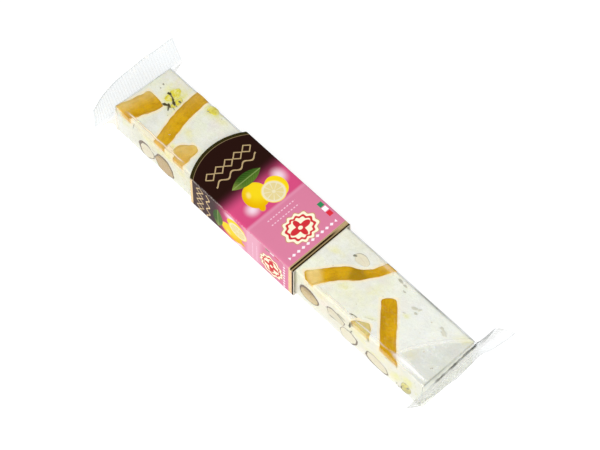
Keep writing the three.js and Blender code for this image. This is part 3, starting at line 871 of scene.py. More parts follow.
# face, place on it, half length and half width in mm, turn in degrees, and how dark, of each crumb of skin
skinCrumbs = [
    ("top", -79.0, 5.6, 1.0, 0.7, 10, 1.0), ("top", -77.3, 5.3, 1.3, 0.34, -12, 0.85),
    ("top", -75.6, 4.5, 1.3, 0.5, -35, 1.0), ("top", -74.2, 3.7, 1.4, 0.66, -20, 1.0),
    ("top", -72.6, 3.5, 0.9, 0.24, -5, 0.6), ("top", -73.0, 5.9, 0.75, 0.45, 20, 0.85),
    ("top", -76.3, 0.7, 1.2, 0.8, 25, 1.0), ("top", -75.0, 1.5, 1.0, 0.7, -25, 1.0),
    ("top", -74.1, 1.0, 0.9, 0.45, 60, 0.95), ("top", -73.7, 0.1, 1.0, 0.36, -50, 0.9),
    ("top", -72.4, 1.9, 1.1, 0.16, -15, 0.6), ("top", -84.0, 6.8, 0.6, 0.36, -15, 0.5),
    ("top", -83.5, 4.8, 0.36, 0.28, 0, 0.5), ("top", -61.6, 11.2, 0.6, 0.22, 30, 0.5),
    ("top", -64.2, -7.8, 0.5, 0.14, 40, 0.3), ("top", 28.9, 7.4, 0.9, 0.6, 25, 0.7),
    ("top", 49.8, 12.4, 1.5, 0.6, -8, 0.35), ("top", 52.6, 12.1, 1.1, 0.5, 0, 0.3),
    ("top", 54.2, 10.0, 0.9, 0.4, -5, 0.16), ("top", 62.4, 7.6, 1.4, 0.8, 20, 0.10),
    ("top", 64.3, 6.3, 0.9, 0.5, 10, 0.22), ("top", 64.4, 8.5, 1.0, 0.5, 70, 0.07),
    ("top", 78.2, 8.0, 1.8, 1.0, -20, 0.06), ("top", 76.3, 9.0, 1.1, 0.7, -10, 0.10),
    ("top", 85.9, -6.0, 0.34, 0.24, 0, 0.4), ("top", 47.1, -12.2, 1.0, 0.34, 25, 0.75),
    ("top", 48.7, -11.8, 1.1, 0.24, 8, 0.65), ("top", 53.4, -8.4, 2.6, 0.12, 29, 0.2),
    ("top", 60.9, 3.2, 0.7, 0.22, 35, 0.2), ("top", 68.4, 14.0, 0.9, 0.2, 0, 0.2),
    ("front", 48.4, 14.8, 2.4, 0.55, 84, 1.0), ("front", 49.4, 10.8, 1.3, 0.34, 70, 0.7),
    ("front", 38.6, 8.3, 2.2, 0.26, 4, 0.75), ("front", 43.6, 15.0, 2.6, 0.26, -8, 0.55),
    ("front", 75.4, 3.2, 0.9, 0.25, 70, 0.6), ("front", 76.6, 2.0, 0.6, 0.25, 20, 0.6),
    ("front", 78.0, 3.4, 0.9, 0.5, 80, 0.85), ("front", 81.4, 6.6, 1.2, 0.5, 60, 0.65),
    ("front", -79, 16, 2.6, 0.2, 78, 0.45), ("back", -72, 12, 1.2, 0.3, 20, 0.6),
    ("back", 33, 14, 0.9, 0.3, -30, 0.5), ("back", 82, 12, 0.8, 0.3, 50, 0.4),
    ("left", 3, 12, 0.9, 0.3, 20, 0.5), ("right", -4, 13, 0.8, 0.25, -20, 0.4),
    ("under", 60, -8, 1.1, 0.3, 15, 0.5),
]


def crumb(number, face, first, second, long, short, turn, tone):
    # a low closed cushion with a ragged outline: its radius follows the sine, and its height the cosine,
    # of the way from its crown down to its underside
    centre, across, up, inward = onFace(face, first, second)
    rows, columns = 10, 20
    bend = np.linspace(0, np.pi, rows)[:, None]
    angle = np.arange(columns) / columns * 2 * np.pi
    radius = raggedAt(angle, np.random.default_rng(number + 5), 0.16, (2, 3, 5)) * np.sin(bend)
    u, v = turned(long * np.cos(angle) * radius, short * np.sin(angle) * radius, turn)
    flat = centre + u[..., None] * across + v[..., None] * up
    low = sinkAt(flat) - peel["proud"] - 0.03 - 0.05 * np.cos(bend)
    plain = np.ones_like(u)
    return flat + inward * low[..., None], {"dark": tone * plain, "hem": np.sin(bend) * plain}


def skinMaterial():
    # brown-black by how dark the crumb is, and paler towards its hem, where the nougat shines through
    paint = Paint("nut skin")
    place = paint.millimetres()
    dark, hem = paint.value("dark"), paint.value("hem")
    grain = paint.noise(place, 0.4, 3)
    colour = paint.mix(dark, (0.70, 0.68, 0.56), (0.042, 0.034, 0.006))
    colour = paint.mix(grain * dark * 0.3, colour, (0.24, 0.18, 0.06))
    pale = paint.mix(dark, (0.80, 0.79, 0.70), (0.74, 0.70, 0.48))
    colour = paint.mix(paint.step(hem + (grain - 0.5) * 0.3, 0.70, 1.04) * 0.7, colour, pale)
    shader = paint.surface(Base_Color=colour, Roughness=0.6, Normal=paint.bump(grain, 0.05, 0.6),
                           Specular_IOR_Level=0.1)
    return paint.finish(shader)


points, faces, values = joined([crumb(number, *settings) for number, settings in enumerate(skinCrumbs)])
makePiece("skin_crumbs", points, faces, [skinMaterial()], values)
print("crumbs of skin made")


film = {
    "off": 0.14,  # how far it stands off the bar
    "corner": 0.95,  # radius of its long edges
    "sheet": 0.04,  # from each layer to the middle between the two
    "fin": 13.5,  # length of a fin from its root
    "pitch": 1.4,  # of the crimp's ribs
    "rib": 0.09,  # their height
    "across": 184,  # steps across each layer
    "along": 119,  # steps along the bar
    "clear": (0.982, 0.988, 0.990, 1),
    "right": {
        "root": (0.9, 16.8),  # distance from the bar's end, and height
        "climb": 1.8,  # how far the root climbs towards the +Y side
        "width": 50.4,
        "rise": (60, 54, 42),  # degrees at the fin's -Y tip, middle and +Y tip
        "seed": 21,  # of its slack
        "bend": (0.22, 0.28),  # painted shade line round the bar's end: everywhere, and more towards -Y
        "corner": 0.0,  # painted highlight on the bar's corner at -Y
        "under": 0.22,  # painted highlight on the lower layer on its way to the fin
        "valley": 1.0,  # painted shade in the upper layer's hollow on that way
        "band": 0.3,  # painted highlight in a band on the fin
        "fainter": 0.6,  # how much fainter the fin's +Y side is
    },
    "left": {
        "root": (2.8, 9.2),
        "climb": 0.0,
        "width": 48.0,
        "rise": (86, 62, 66),
        "seed": 22,
        "bend": (0.35, 0.0),
        "corner": 0.3,
        "under": 0.18,
        "valley": 0.25,
        "band": 0.0,
        "fainter": 0.0,
    },
}
seal = {
    "along": (-86, 86.5, 620),  # from, to, and how many points
    "across": (-1.2, 7.6, 9),
    "height": 0.53,
    "sheet": 0.02,  # half its thickness
    "rib": 0.035,
    "pitch": 1.2,
}


def filmRing(share, layer):
    # around the bar: share -1 to 1 runs from side to side, over the top for layer 1 and under the
    # bar for layer -1; the outer part of it goes down (or up) the side to mid-height
    halfWide, halfTall = halfY + film["off"], halfZ + film["off"]
    reach = halfWide + halfTall
    across = np.abs(share) * reach
    down = np.clip((across - halfWide) / halfTall, 0, 1)
    y = np.sign(share) * np.minimum(across, halfWide)
    z = layer * (film["sheet"] + (halfTall - film["sheet"]) * (1 - down))
    core = np.array([halfWide, halfTall]) - film["corner"]
    inner = np.stack([np.clip(y, -core[0], core[0]), np.clip(z, -core[1], core[1])], -1)
    out = np.stack([y, z], -1) - inner
    out /= np.maximum(np.linalg.norm(out, axis=-1, keepdims=True), 1e-9)
    power = np.where(layer > 0, 2.0, 5.0)[:, None]
    return inner + squared(out, power) * film["corner"]


def filmSection():
    # for each point of a ring: its share from side to side, its layer (1 over the bar, -1 under it), its
    # place, its distance round the ring from the middle, and how near it is to one of the far long edges
    share = np.linspace(-1, 1, film["across"] + 1)
    share = np.concatenate([share, share[::-1]])
    layer = np.repeat([-1.0, 1.0], film["across"] + 1)
    y, z = filmRing(share, layer).T
    around = np.abs(share) * (halfY + halfZ + 2 * film["off"])
    # edge: a painted shade line along the +Y long edges, fainter on the lower layer
    edge = np.exp(-((around - halfY - film["off"]) / 0.5)**2) * np.where(layer > 0, 1.0, 0.4)
    edge *= np.where(share > 0, 0.55, 0.0)
    return share, layer, y, z + bar["middle"], around, edge


def ridgeAt(x, y):
    # 0 on the film's slanting ridge near its right end and above 0 beyond it: x less a curve of y
    return x - 77.0 - 0.62 * y - 0.012 * y * y


def filmEnd(end, sign):
    # rings outwards from the bar's end, in five stacks: place, crimp, rib, painted shade and painted
    # highlight.
    # The first go round the edge of the bar's end, the next in to the fin's root, and the last out along the
    # fin; for sign -1 they are mirrored and in reverse
    share, layer, y, z, around, edge = filmSection()
    half = end["width"] / 2
    aside = share * half
    upper = (layer > 0).astype(float)
    tip = np.where(share < 0, end["rise"][0], end["rise"][2])
    angle = np.radians(end["rise"][1] + (tip - end["rise"][1]) * np.abs(share)**1.5)
    lift = end["climb"] * (ease(aside, -8, 10) - 0.35)
    notes = []

    def note(ring, crimp, rib, creaseShade, glare):
        # keeps a ring, each value spread over its points
        notes.append((ring, *(np.broadcast_to(value, share.shape) for value in (crimp, rib, creaseShade, glare))))

    def fin(out):
        # out mm from the root at its angle, with ribs, and slack that grows with the distance
        rib = film["rib"] * np.sin(2 * np.pi * aside / film["pitch"]) * ease(out, 0.6, 2.2)
        slack = 0.35 * ripple(np.stack([aside, np.full_like(aside, out * 0.6)], -1), 13, end["seed"], 8)
        off = layer * film["sheet"] * (1 + 1.5 * (1 - ease(out, 0, 3))) + rib + slack * ease(out, 0, 5)
        x = halfX + end["root"][0] + out * np.cos(angle) - off * np.sin(angle)
        return np.stack([x, aside, end["root"][1] + lift + out * np.sin(angle) + off * np.cos(angle)], -1)

    side = ease(around, halfY - 1.2, halfY + 1.2)
    edgeX = halfX - leanAt(sign * halfX, y) + film["off"]
    inset = film["corner"] * (1 - side)
    for turn in np.radians(np.linspace(0, 90, 6)):
        x = edgeX - film["corner"] + film["corner"] * np.sin(turn)
        low = inset * (1 - np.cos(turn))
        # a painted shade line round the edge of the bar's end, and a painted highlight at its corner towards
        # -Y
        bend = np.exp(-((turn - 0.9) / 0.35)**2) * (end["bend"][0] + end["bend"][1] * ease(-y, -2, 6))
        note(np.stack([x, y, z - np.sign(layer) * low], -1), 0, 0.5,
             np.maximum(bend * (0.3 + 0.7 * upper), edge), end["corner"] * ease(-y, 9, 13.5) * (turn > 0.2))

    start, root = notes[-1][0], fin(0)
    patchy = np.clip(0.85 + 0.35 * ripple(y[:, None], 9, 55, 6), 0.5, 1)
    # painted shade in the hollow between the bar's end and the fin's root, on the upper layer
    valley = (0.7 + 0.3 * ease(y, -6, 8)) * ease(y, -14, -8) * end["valley"] * upper * patchy
    for part in np.linspace(0, 1, 12)[1:-1]:
        fold = 0.32 * np.sin(np.pi * part) * ripple(np.stack([share * 30, layer * 6], -1), 4.5, 31, 10)
        here = start + (root - start) * part
        # the folds only push outwards, away from the bar's end
        here[:, 0] += np.abs(fold) * (1 - 0.5 * side)
        here[:, 2] += fold * side
        bright = (1 - upper) * end["under"] * ease(part, 0, 0.15) * ease(-part, -1, -0.85)
        note(here, 0, 0.5, valley * ease(part, 0.35 - 0.3 * ease(y, 4, 8), 0.8), bright)

    # painted shade at the fin's root, and painted dark lines along its tips and its cut edge
    beyond = valley * ease(-np.abs(aside), -15.0, -13.0)
    faint = 1 - end["fainter"] * ease(aside, 2, 12)
    tips = np.exp(-((half - np.abs(aside)) / 0.35)**2) * 0.12 * faint
    for out in np.concatenate([np.linspace(0, 3, 9), np.linspace(3, film["fin"], 13)[1:]]):
        crimp = ease(out, 0.4, 1.6)
        rib = 0.5 + 0.5 * np.sin(2 * np.pi * aside / film["pitch"]) * crimp
        hem = 0.10 * faint if out > film["fin"] - 0.3 else 0.0
        creaseShade = np.maximum(beyond * ease(-out, -3.0, -0.2), np.maximum(tips, hem))
        # a painted highlight in a band on the upper layer of the fin
        band = end["band"] * upper * ease(out, 1.5, 3) * ease(-out, -7, -5)
        note(fin(out), crimp * faint, rib, creaseShade, band)
    stacks = [np.array(part) for part in zip(*notes)]
    stacks[0][..., 0] *= sign
    return [part[::sign] for part in stacks]


def filmBody(starts, stops):
    # rings along the bar from starts to stops: low folds and the slanting ridge lift the film a little
    # along its outward direction, and less under the bar
    share, layer, y, z, around, edge = filmSection()
    rise = z - bar["middle"]
    outY = np.where(np.abs(y) > halfY - 0.9, np.sign(y), 0)
    outZ = np.where(np.abs(rise) > halfZ - 0.9, np.sign(rise), 0)
    away = np.stack([np.zeros_like(y), outY, outZ], -1)
    away /= np.maximum(np.linalg.norm(away, axis=1, keepdims=True), 1)
    body = []
    for part in np.linspace(0, 1, film["along"] + 1)[1:-1]:
        x = starts + (stops - starts) * part
        here = np.stack([x, y, z], -1)
        lift = 0.05 * (1 + ripple(here, 24, 41, 10)) + 0.01 * (1 + ripple(here, 7, 43, 10))
        lift = lift + 0.06 * np.exp(-(ridgeAt(x, y) / 2.6)**2) * ease(x, 60, 70)
        lift = lift * (1 - 0.85 * ease(-away[:, 2], 0.2, 0.8))
        body.append(here + away * lift[:, None])
    body = np.array(body)
    x = body[..., 0]
    # a painted shade line runs along the far top edge from x = 16 on, strongest round x = 65
    farEdge = np.exp(-((around - halfY - film["off"]) / 1.1)**2) * (share > 0) * (layer > 0)
    strength = 0.22 + 0.13 * ease(x, 45, 55) + 0.25 * ease(-np.abs(x - 65), -12, -4)
    creaseShade = np.maximum(edge, farEdge * strength * ease(x, 16, 20))
    still = np.zeros_like(x)
    return [body, still, still + 0.5, creaseShade, still]


def closedFlat(rings):
    # the rings with one more at each end, in which both layers lie on the middle between them
    half = rings.shape[1] // 2
    middles = [(ring[:half] + ring[half:][::-1]) / 2 for ring in (rings[0], rings[-1])]
    first, last = (np.concatenate([middle, middle[::-1]])[None] for middle in middles)
    return np.concatenate([first, rings, last])


def filmTube():
    # one closed sheet: the left end, the body and the right end, and each fin's cut edge is closed where
    # its two layers meet
    right = filmEnd(film["right"], 1)
    left = filmEnd(film["left"], -1)
    body = filmBody(left[0][-1, :, 0], right[0][0, :, 0])
    points, *values = (np.concatenate(parts) for parts in zip(left, body, right))
    points = closedFlat(points)
    values = [np.concatenate([value[:1], value, value[-1:]]) for value in values]
    return points, dict(zip(("crimp", "rib", "creaseShade", "glare"), values))


def filmSeal():
    # the lengthwise seal: a flat ribbed flap under the bar, two skins closed all round
    x, y = np.meshgrid(np.linspace(*seal["along"]), np.linspace(*seal["across"]), indexing="ij")
    wave = y + 0.25 * ripple(x[..., None], 40, 61, 6)
    ribbed = seal["height"] + seal["rib"] * np.sin(2 * np.pi * x / seal["pitch"])
    lower, upper = (np.stack([x, wave, ribbed + high], -1) for high in (-seal["sheet"], seal["sheet"]))
    points = np.concatenate([lower, upper[:, ::-1]], axis=1)
    points = closedFlat(points)
    plain = np.ones(points.shape[:2])
    rib = 0.5 + 0.49 * (points[..., 2] - seal["height"]) / seal["rib"]
    return points, {"crimp": 0.7 * plain, "rib": rib, "creaseShade": 0 * plain, "glare": 0 * plain}


def filmHighlights(paint, x, y, onTop):
    # painted highlights: streaks along the film's front top edge, and a fainter one at the back;
    # each is 1 on its line and fades with the distance from it
    wander = (paint.noise(paint.vector(x, 0, 0), 9, 2) - 0.5) * 1.6
    patchy = paint.step(paint.noise(paint.vector(x, 3, 0), 11, 3, 0.6), 0.36, 0.60)
    rightPart = paint.step(x, 66, 78)
    breadth = 0.65 + paint.step(x, 68, 74) * paint.step(x, 88, 76) * 1.3
    away = y + 12.9 - rightPart * 0.9 + wander * (1 - rightPart * 0.6)
    # spot: a painted highlight patch near x = -59 on the front top edge
    spot = paint.step(abs(x + 59.2), 2.6, 0.6) * paint.step(abs(y + 12.4), 1.8, 0.2)
    faint = paint.high(paint.between(x, -83.0, -51.0, 3.0) * 0.95, paint.between(x, 30.0, 66.0, 6.0) * 0.6)
    strength = paint.high(paint.high((patchy * 0.5 + 0.5) * faint, spot * 0.85), rightPart)
    front = paint.high(paint.step(abs(away) / breadth, 1.0, 0.0), spot) * strength
    front = front * paint.step(x, 88.2, 86.5) * onTop
    back = paint.step(abs(y - 12.7 + wander * 0.4), 1.1, 0.2) * paint.between(x, 38.0, 56.0, 4.0)
    return paint.high(front * 0.95, back * patchy * onTop * 0.4)


def filmMaterial():
    # a thin sheet: clear where share is 0 and glossy where it is 1. Share grows with the fifth power of
    # how glancing the view is, at the crimps, along the painted shade lines, and where highlights are
    # painted
    paint = Paint("clear film")
    place = paint.millimetres()
    x, y, z = paint.parts(place)
    crimp, rib, creaseShade, glare = (paint.value(key) for key in ("crimp", "rib", "creaseShade", "glare"))
    folds = paint.noise(paint.vector(x, y * 1.4, z), 7, 4, 0.55)
    fine = paint.noise(place, 2.2, 3, 0.5)
    normal = paint.bump(folds * 0.7 + fine * 0.3, 0.5, 0.4)
    onTop = paint.step(z, 18.8, 19.1) * paint.step(abs(x), 90, 89)
    onRight = onTop * paint.step(x, 60, 66)
    ridge = ridgeAt(x, y)
    slope = paint.step(ridge, -8, 0) * paint.step(ridge, 0.3, -0.3)
    sheen = (paint.step(abs(ridge), 1.3, 0.0) * 0.28 + slope * 0.10) * paint.step(y, -11.5, -7.0)
    shade = paint.step(ridge, -0.2, 0.6) * 0.10
    # painted highlights: fine white lines along the film's wrinkles
    veins = paint.noise(paint.vector(x * 0.6, y, z), 5, 3, 0.6)
    wrinkleHighlight = paint.step(abs(veins - 0.5), 0.012, 0.002) * 0.04
    # painted sheen: a faint whitish band along the front top edge at the left
    onEdge = paint.step(y, -12.7, -13.4) * paint.step(z, 16.2, 18.2)
    edgeSheen = onEdge * paint.between(x, -84.0, -47.0, 3.0) * 0.12
    shine = paint.high(filmHighlights(paint, x, y, onTop), sheen * onRight) + paint.high(wrinkleHighlight, edgeSheen) + glare
    # where a highlight is painted the film turns a rough diffuse white, except on the painted shade lines
    paintedHighlight = paint.step(shine, 0.0, 0.02) * paint.step(creaseShade, 0.25, 0.05)

    facing = paint.add("LayerWeight", inputs={"Blend": 0.5, "Normal": normal}, output=1)
    share = facing ** 5 * 0.55 + 0.007 + crimp * (0.055 + paint.step(rib, 0.45, 0.95) * 0.035)
    share = paint.low(share + creaseShade * 0.9 + shade * onRight + shine, 0.94)
    atCrimp = paint.mix(paint.step(x, -20, 20), (0.50, 0.60, 0.63), (0.55, 0.56, 0.51))
    # the colour of the painted highlights: warmer at the left end
    highlightTint = paint.mix(paint.step(x, 20, 60), (1.0, 0.85, 0.60), (1.0, 0.985, 0.95))
    tint = paint.mix(crimp, (0.76, 0.82, 0.86), atCrimp)
    # painted shade: along the creases, the far edges and the fin's tips the film turns dark grey
    tint = paint.mix(paint.step(creaseShade, 0.1, 0.6), tint, (0.08, 0.08, 0.07))
    tint = paint.mix(shade * onRight * 8, tint, (0.50, 0.47, 0.38))
    tint = paint.mix(paintedHighlight, tint, highlightTint)
    clear = paint.add("BsdfTransparent", inputs={"Color": film["clear"]})
    gloss = paint.surface(Base_Color=tint, Roughness=0.08 + crimp * 0.25 + paintedHighlight * 0.4, Normal=normal,
                          Metallic=1 - paintedHighlight)
    shader = paint.add("MixShader", inputs={0: share, 1: clear, 2: gloss})
    return paint.finish(shader)


filmClear = filmMaterial()
filmPiece = makeTube("film", filmTube(), filmClear)
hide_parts("film_end_left", "film_end_right")
makeTube("film_seal", filmSeal(), filmClear)
print("film made,", len(filmPiece.data.polygons), "faces")


sleeve = {
    "left": -43.1,
    "right": 17.6,
    "width": 31.8,
    "height": 19.9,
    "card": 0.45,
    "round": 0.7,  # radius of its folds
    "arch": 5.1,  # how far the top panel's left edge bulges out
    "bow": 0.12,  # how far its top and side panels bulge outwards
    "fold": 0.8,  # this near to a panel's edge a point belongs to the fold
    "rings": 40,  # along each of its two skins
    "steps": 30,  # steps across each panel
}


def roundedLoop(width, height, corner):
    # a rounded rectangle from its lower right corner, anticlockwise seen from +X, as y and z
    corners = [(1, -1), (1, 1), (-1, 1), (-1, -1)]
    halfWide, halfTall = width / 2 - corner, height / 2 - corner
    share = np.linspace(0, 1, sleeve["steps"] + 1)[1:-1]
    y, z = [], []
    for number, (sideY, sideZ) in enumerate(corners):
        turn = np.radians(np.linspace(0, 90, 6)) + (number - 1) * np.pi / 2
        y.append(sideY * halfWide + corner * np.cos(turn))
        z.append(sideZ * halfTall + corner * np.sin(turn))
        nextY, nextZ = corners[(number + 1) % 4]
        startY, startZ = y[-1][-1], z[-1][-1]
        y.append(startY + (nextY * halfWide + corner * np.cos(turn[-1]) - startY) * share)
        z.append(startZ + (nextZ * halfTall + corner * np.sin(turn[-1]) - startZ) * share)
    return np.concatenate(y), np.concatenate(z) + sleeve["height"] / 2


def sleeveShell():
    # the rounded-rectangle section carried along x, outside to the right and back inside, so that
    # the card has its thickness; only the top panel's left end follows an arc
    width, height, card, fold = (sleeve[key] for key in ("width", "height", "card", "fold"))
    outer = roundedLoop(width, height, sleeve["round"])
    inner = roundedLoop(width - 2 * card, height - 2 * card, sleeve["round"] - card)
    radius = ((width / 2)**2 + sleeve["arch"]**2) / (2 * sleeve["arch"])
    rings, wayRound = [], []
    for (y, z), way in ((outer, 1), (inner, -1)):
        depth = radius - np.sqrt(radius**2 - np.clip(y, -width / 2, width / 2)**2)
        arc = sleeve["left"] - sleeve["arch"] + depth
        onTop = z > height - card - 0.2
        start = np.where(onTop, np.minimum(arc, sleeve["left"]), sleeve["left"])
        share = np.linspace(0, 1, sleeve["rings"])[:, None]
        x = start + (sleeve["right"] - start) * share
        bow = sleeve["bow"] * np.sin(np.pi * share)
        rise = z - height / 2
        flatY = np.where(np.abs(rise) < height / 2 - fold, np.cos(rise / height * np.pi), 0)
        flatZ = np.where((np.abs(y) < width / 2 - fold) & (z > height / 2), np.cos(y / width * np.pi), 0)
        grid = np.stack([x, y + np.sign(y) * flatY * bow, z + flatZ * bow], -1)
        rings.append(grid if way > 0 else grid[::-1])
        # distance round the card from the middle of its top
        up = np.where(np.abs(y) > width / 2 - fold, height - z, np.where(z > height / 2, 0, height))
        run = np.sign(y) * np.where(z > height / 2 + 8.5, np.abs(y), width / 2 + up)
        run = np.where(z < 0.6, np.sign(y) * (width + height - np.abs(y)), run)
        wayRound.append(np.broadcast_to(run, grid.shape[:2]))
    points = np.concatenate(rings)
    faces = gridFaces(*points.shape[:2], closedRows=True, closedColumns=True)
    row = faces[:, 0] // points.shape[1]
    return points, faces, np.concatenate(wayRound), (row >= sleeve["rings"] - 1).astype(int)


inks = {
    "gold": (0.78, 0.50, 0.19),
    "paleGold": (0.86, 0.68, 0.40),
    "aubergine": (0.020, 0.006, 0.004),
    "magenta": (0.66, 0.075, 0.21),
    "pink": (0.68, 0.21, 0.335),
    "cream": (0.94, 0.87, 0.66),
    "red": (0.62, 0.03, 0.04),
}


def printGround(paint, x, v, onTop):
    # aubergine turns to magenta, and a lighter pink field follows; two soft white lights behind the fruit
    dawn = paint.step(x - 1.5 * onTop, -31.1, -20.4)
    # on the side panels the dark field is paler than on the top: a painted sheen
    night = paint.mix(onTop, (0.050, 0.022, 0.024), inks["aubergine"])
    colour = paint.mix(dawn * dawn, night, inks["magenta"])
    colour = paint.mix(paint.step(x, -10.2, -8.6), colour, inks["pink"])
    # a painted sheen: a paler band across the side panels' pink
    paler = paint.between(x, -12.5, -1.5, 2.5) * 0.35 * (1 - onTop)
    colour = paint.mix(paler, colour, (0.95, 0.70, 0.80))
    colour = paint.mix(paint.between(x, -9.4, -8.4, 0.8) * 0.35, colour, (0.82, 0.42, 0.57))
    for spot, half in (((-18.8, 10.8), (5.4, 4.6)), ((-14.4, -8.0), (4.4, 4.6))):
        glow = paint.step(paint.distance(x, v, spot, half), 1.0, 0.0)
        colour = paint.mix(glow * 0.85, colour, (0.93, 0.80, 0.88))
    return colour


def printLeaf(paint, x, v):
    # the overlap of two discs, with a pale midrib and veins: its colour, and 1 where it is
    leafX = abs(x + 26.7)
    lens = paint.root((leafX + 9.2) * (leafX + 9.2) + v * v)
    tone = paint.mix(paint.step(x + 26.7, -2.5, 2.5), (0.025, 0.08, 0.008), (0.09, 0.18, 0.02))
    tone = paint.mix(paint.step(v, -2, -8) * 0.5, tone, (0.35, 0.42, 0.08))
    veins = paint.step(abs(paint.wave((leafX * 0.8 + v) * 2.4)), 0.25, 0.0) * 0.25
    midrib = paint.step(leafX, 0.35, 0.1) * 0.6
    return paint.mix(paint.high(midrib, veins), tone, (0.30, 0.40, 0.12)), paint.step(lens, 12.2, 11.95)


def printLemons(paint, x, v, colour):
    # a whole lemon, its tip towards the right, a leaf, and half a lemon: peel, white pith and pale
    # segments, which are wedges where the sine of 4.5 times the angle is far from 0
    fruit = paint.distance(x, v, (-18.4, -2.4), (6.2, 5.6), -20)
    tip = paint.disc(x, v, (-12.6, -4.4), (1.9, 1.4), -20, 0.2)
    shade = paint.distance(x, v, (-20.0, -0.6), (8.0, 7.0), -20)
    tone = paint.mix(paint.step(shade, 0.3, 1.1), (0.90, 0.66, 0.012), (0.80, 0.45, 0.0))
    shine = paint.step(paint.distance(x, v, (-20.4, -4.6), (2.2, 1.4), -30), 1.0, 0.2)
    tone = paint.mix(shine * 0.5, tone, (0.96, 0.86, 0.40))
    colour = paint.mix(paint.high(paint.step(fruit, 1.02, 0.98), tip), colour, tone)
    leafTone, leaf = printLeaf(paint, x, v)
    colour = paint.mix(leaf, colour, leafTone)

    behind = paint.disc(x, v, (-15.8, 6.6), (5.3, 4.6), 0, 0.03)
    colour = paint.mix(behind, colour, (0.93, 0.66, 0.01))
    half = (-14.8, 4.1)
    cutFace = paint.distance(x, v, half, (5.3, 5.3))
    angle = paint.math("ARCTAN2", v - half[1], x - half[0])
    colour = paint.mix(paint.step(cutFace, 1.02, 0.98), colour, (0.93, 0.74, 0.12))
    colour = paint.mix(paint.step(cutFace, 0.95, 0.90), colour, (0.83, 0.75, 0.52))
    wedge = paint.step(abs(paint.wave(angle * 4.5)), 0.14, 0.34)
    wedge = wedge * paint.step(cutFace, 0.80, 0.74) * paint.step(cutFace, 0.10, 0.18)
    return paint.mix(wedge * 0.8, colour, (0.76, 0.62, 0.24)), leaf


def printEmblem(paint, x, v, colour):
    # a cream rosette of twelve lobes with a red ring round a red star of four arms: the radius of each
    # swings with the sine of twelve and of four times the angle
    badgeX, badgeV = x - 4.9, v - 0.2
    spoke = paint.math("ARCTAN2", badgeV, badgeX)
    reach = paint.root(badgeX * badgeX * 1.55 + badgeV * badgeV)
    petal = reach / (8.2 + 0.55 * paint.wave(spoke * 12))
    colour = paint.mix(paint.step(petal, 1.03, 0.99), colour, (0.55, 0.30, 0.10))
    colour = paint.mix(paint.step(petal, 0.985, 0.945), colour, inks["cream"])
    colour = paint.mix(paint.between(petal, 0.66, 0.80, 0.015), colour, inks["red"])
    star = reach / (3.6 + 1.5 * paint.wave(spoke * 4 + 1.57))
    colour = paint.mix(paint.step(star, 1.05, 0.97), colour, inks["red"])
    return paint.mix(paint.step(reach, 1.15, 0.95), colour, inks["cream"])


def lozenges(paint, x, v, line, halfWide, pitch, halfLong):
    # side by side along v: |across| / halfWide + |along| / halfLong, which is 1 on their outlines
    turn = v / pitch
    return abs(x - line) / halfWide + abs((turn - paint.math("ROUND", turn)) * pitch) / halfLong


def printOrnaments(paint, x, v, colour):
    # dotted rules, three small squares of green, white and red, and a chain of white lozenges
    for line in (-6.1, -3.6):
        rule = paint.between(x, line - 0.22, line + 0.22) * paint.step(abs(v), 7.6, 7.4)
        dots = paint.step(paint.wave(v * 4.2), -0.3, 0.1)
        colour = paint.mix(rule * dots * 0.75, colour, (0.95, 0.72, 0.84))
    colour = printEmblem(paint, x, v, colour)
    strip = paint.between(v, 12.4, 14.6, 0.06)
    squares = (1.5, 3.8, (0.03, 0.26, 0.10)), (4.2, 6.4, (0.95, 0.95, 0.93)), (6.8, 9.2, (0.72, 0.03, 0.05))
    for low, high, tint in squares:
        colour = paint.mix(strip * paint.between(x, low, high, 0.06), colour, tint)
    chain = paint.step(lozenges(paint, x, v, 12.3, 0.75, 2.6, 0.95), 1.1, 0.9)
    return paint.mix(chain * paint.step(abs(v), 13.2, 13.0), colour, (0.95, 0.85, 0.90))


def printEdges(paint, x, y, onTop, colour, foilAndGlint):
    # an olive band with a gold line along the arch, gold and dark bands at the right, and a painted
    # gold glint on them towards the back
    wide = sleeve["width"] / 2
    radius = (wide**2 + sleeve["arch"]**2) / (2 * sleeve["arch"])
    left = paint.low(x - (sleeve["left"] - sleeve["arch"] + radius), 0.0)
    inArc = radius - paint.root(left * left + y * y)
    inEdge = paint.add("Mix", {"data_type": "FLOAT"}, {0: onTop, 2: x - sleeve["left"], 3: inArc})
    colour = paint.mix(paint.step(inEdge, 1.45, 1.35) * onTop, colour, (0.030, 0.024, 0.005))
    foilAndGlint = paint.high(foilAndGlint, paint.between(inEdge, 1.40, 1.60, 0.05) * onTop * 0.4)
    foilAndGlint = paint.high(foilAndGlint, paint.step(inEdge, 1.35, 1.2) * (1 - onTop))
    foilAndGlint = paint.high(foilAndGlint, paint.between(x, 14.8, 16.6) * (1 - onTop))
    foilAndGlint = paint.high(foilAndGlint, paint.between(x, 14.9, 15.5) * onTop)
    band = paint.high(paint.step(x, 15.45, 15.55) * onTop, paint.step(x, 16.6, 16.7))
    colour = paint.mix(band, colour, (0.030, 0.018, 0.005))
    foilAndGlint = paint.high(foilAndGlint, paint.between(x, 16.4, 16.9, 0.1) * onTop * 0.45)
    # a painted glint: gold across the right bands of the top towards the back
    foilAndGlint = paint.high(foilAndGlint, paint.between(x, 15.3, 16.7, 0.3) * paint.step(y, 6, 13) * onTop * 0.8)
    return colour, foilAndGlint


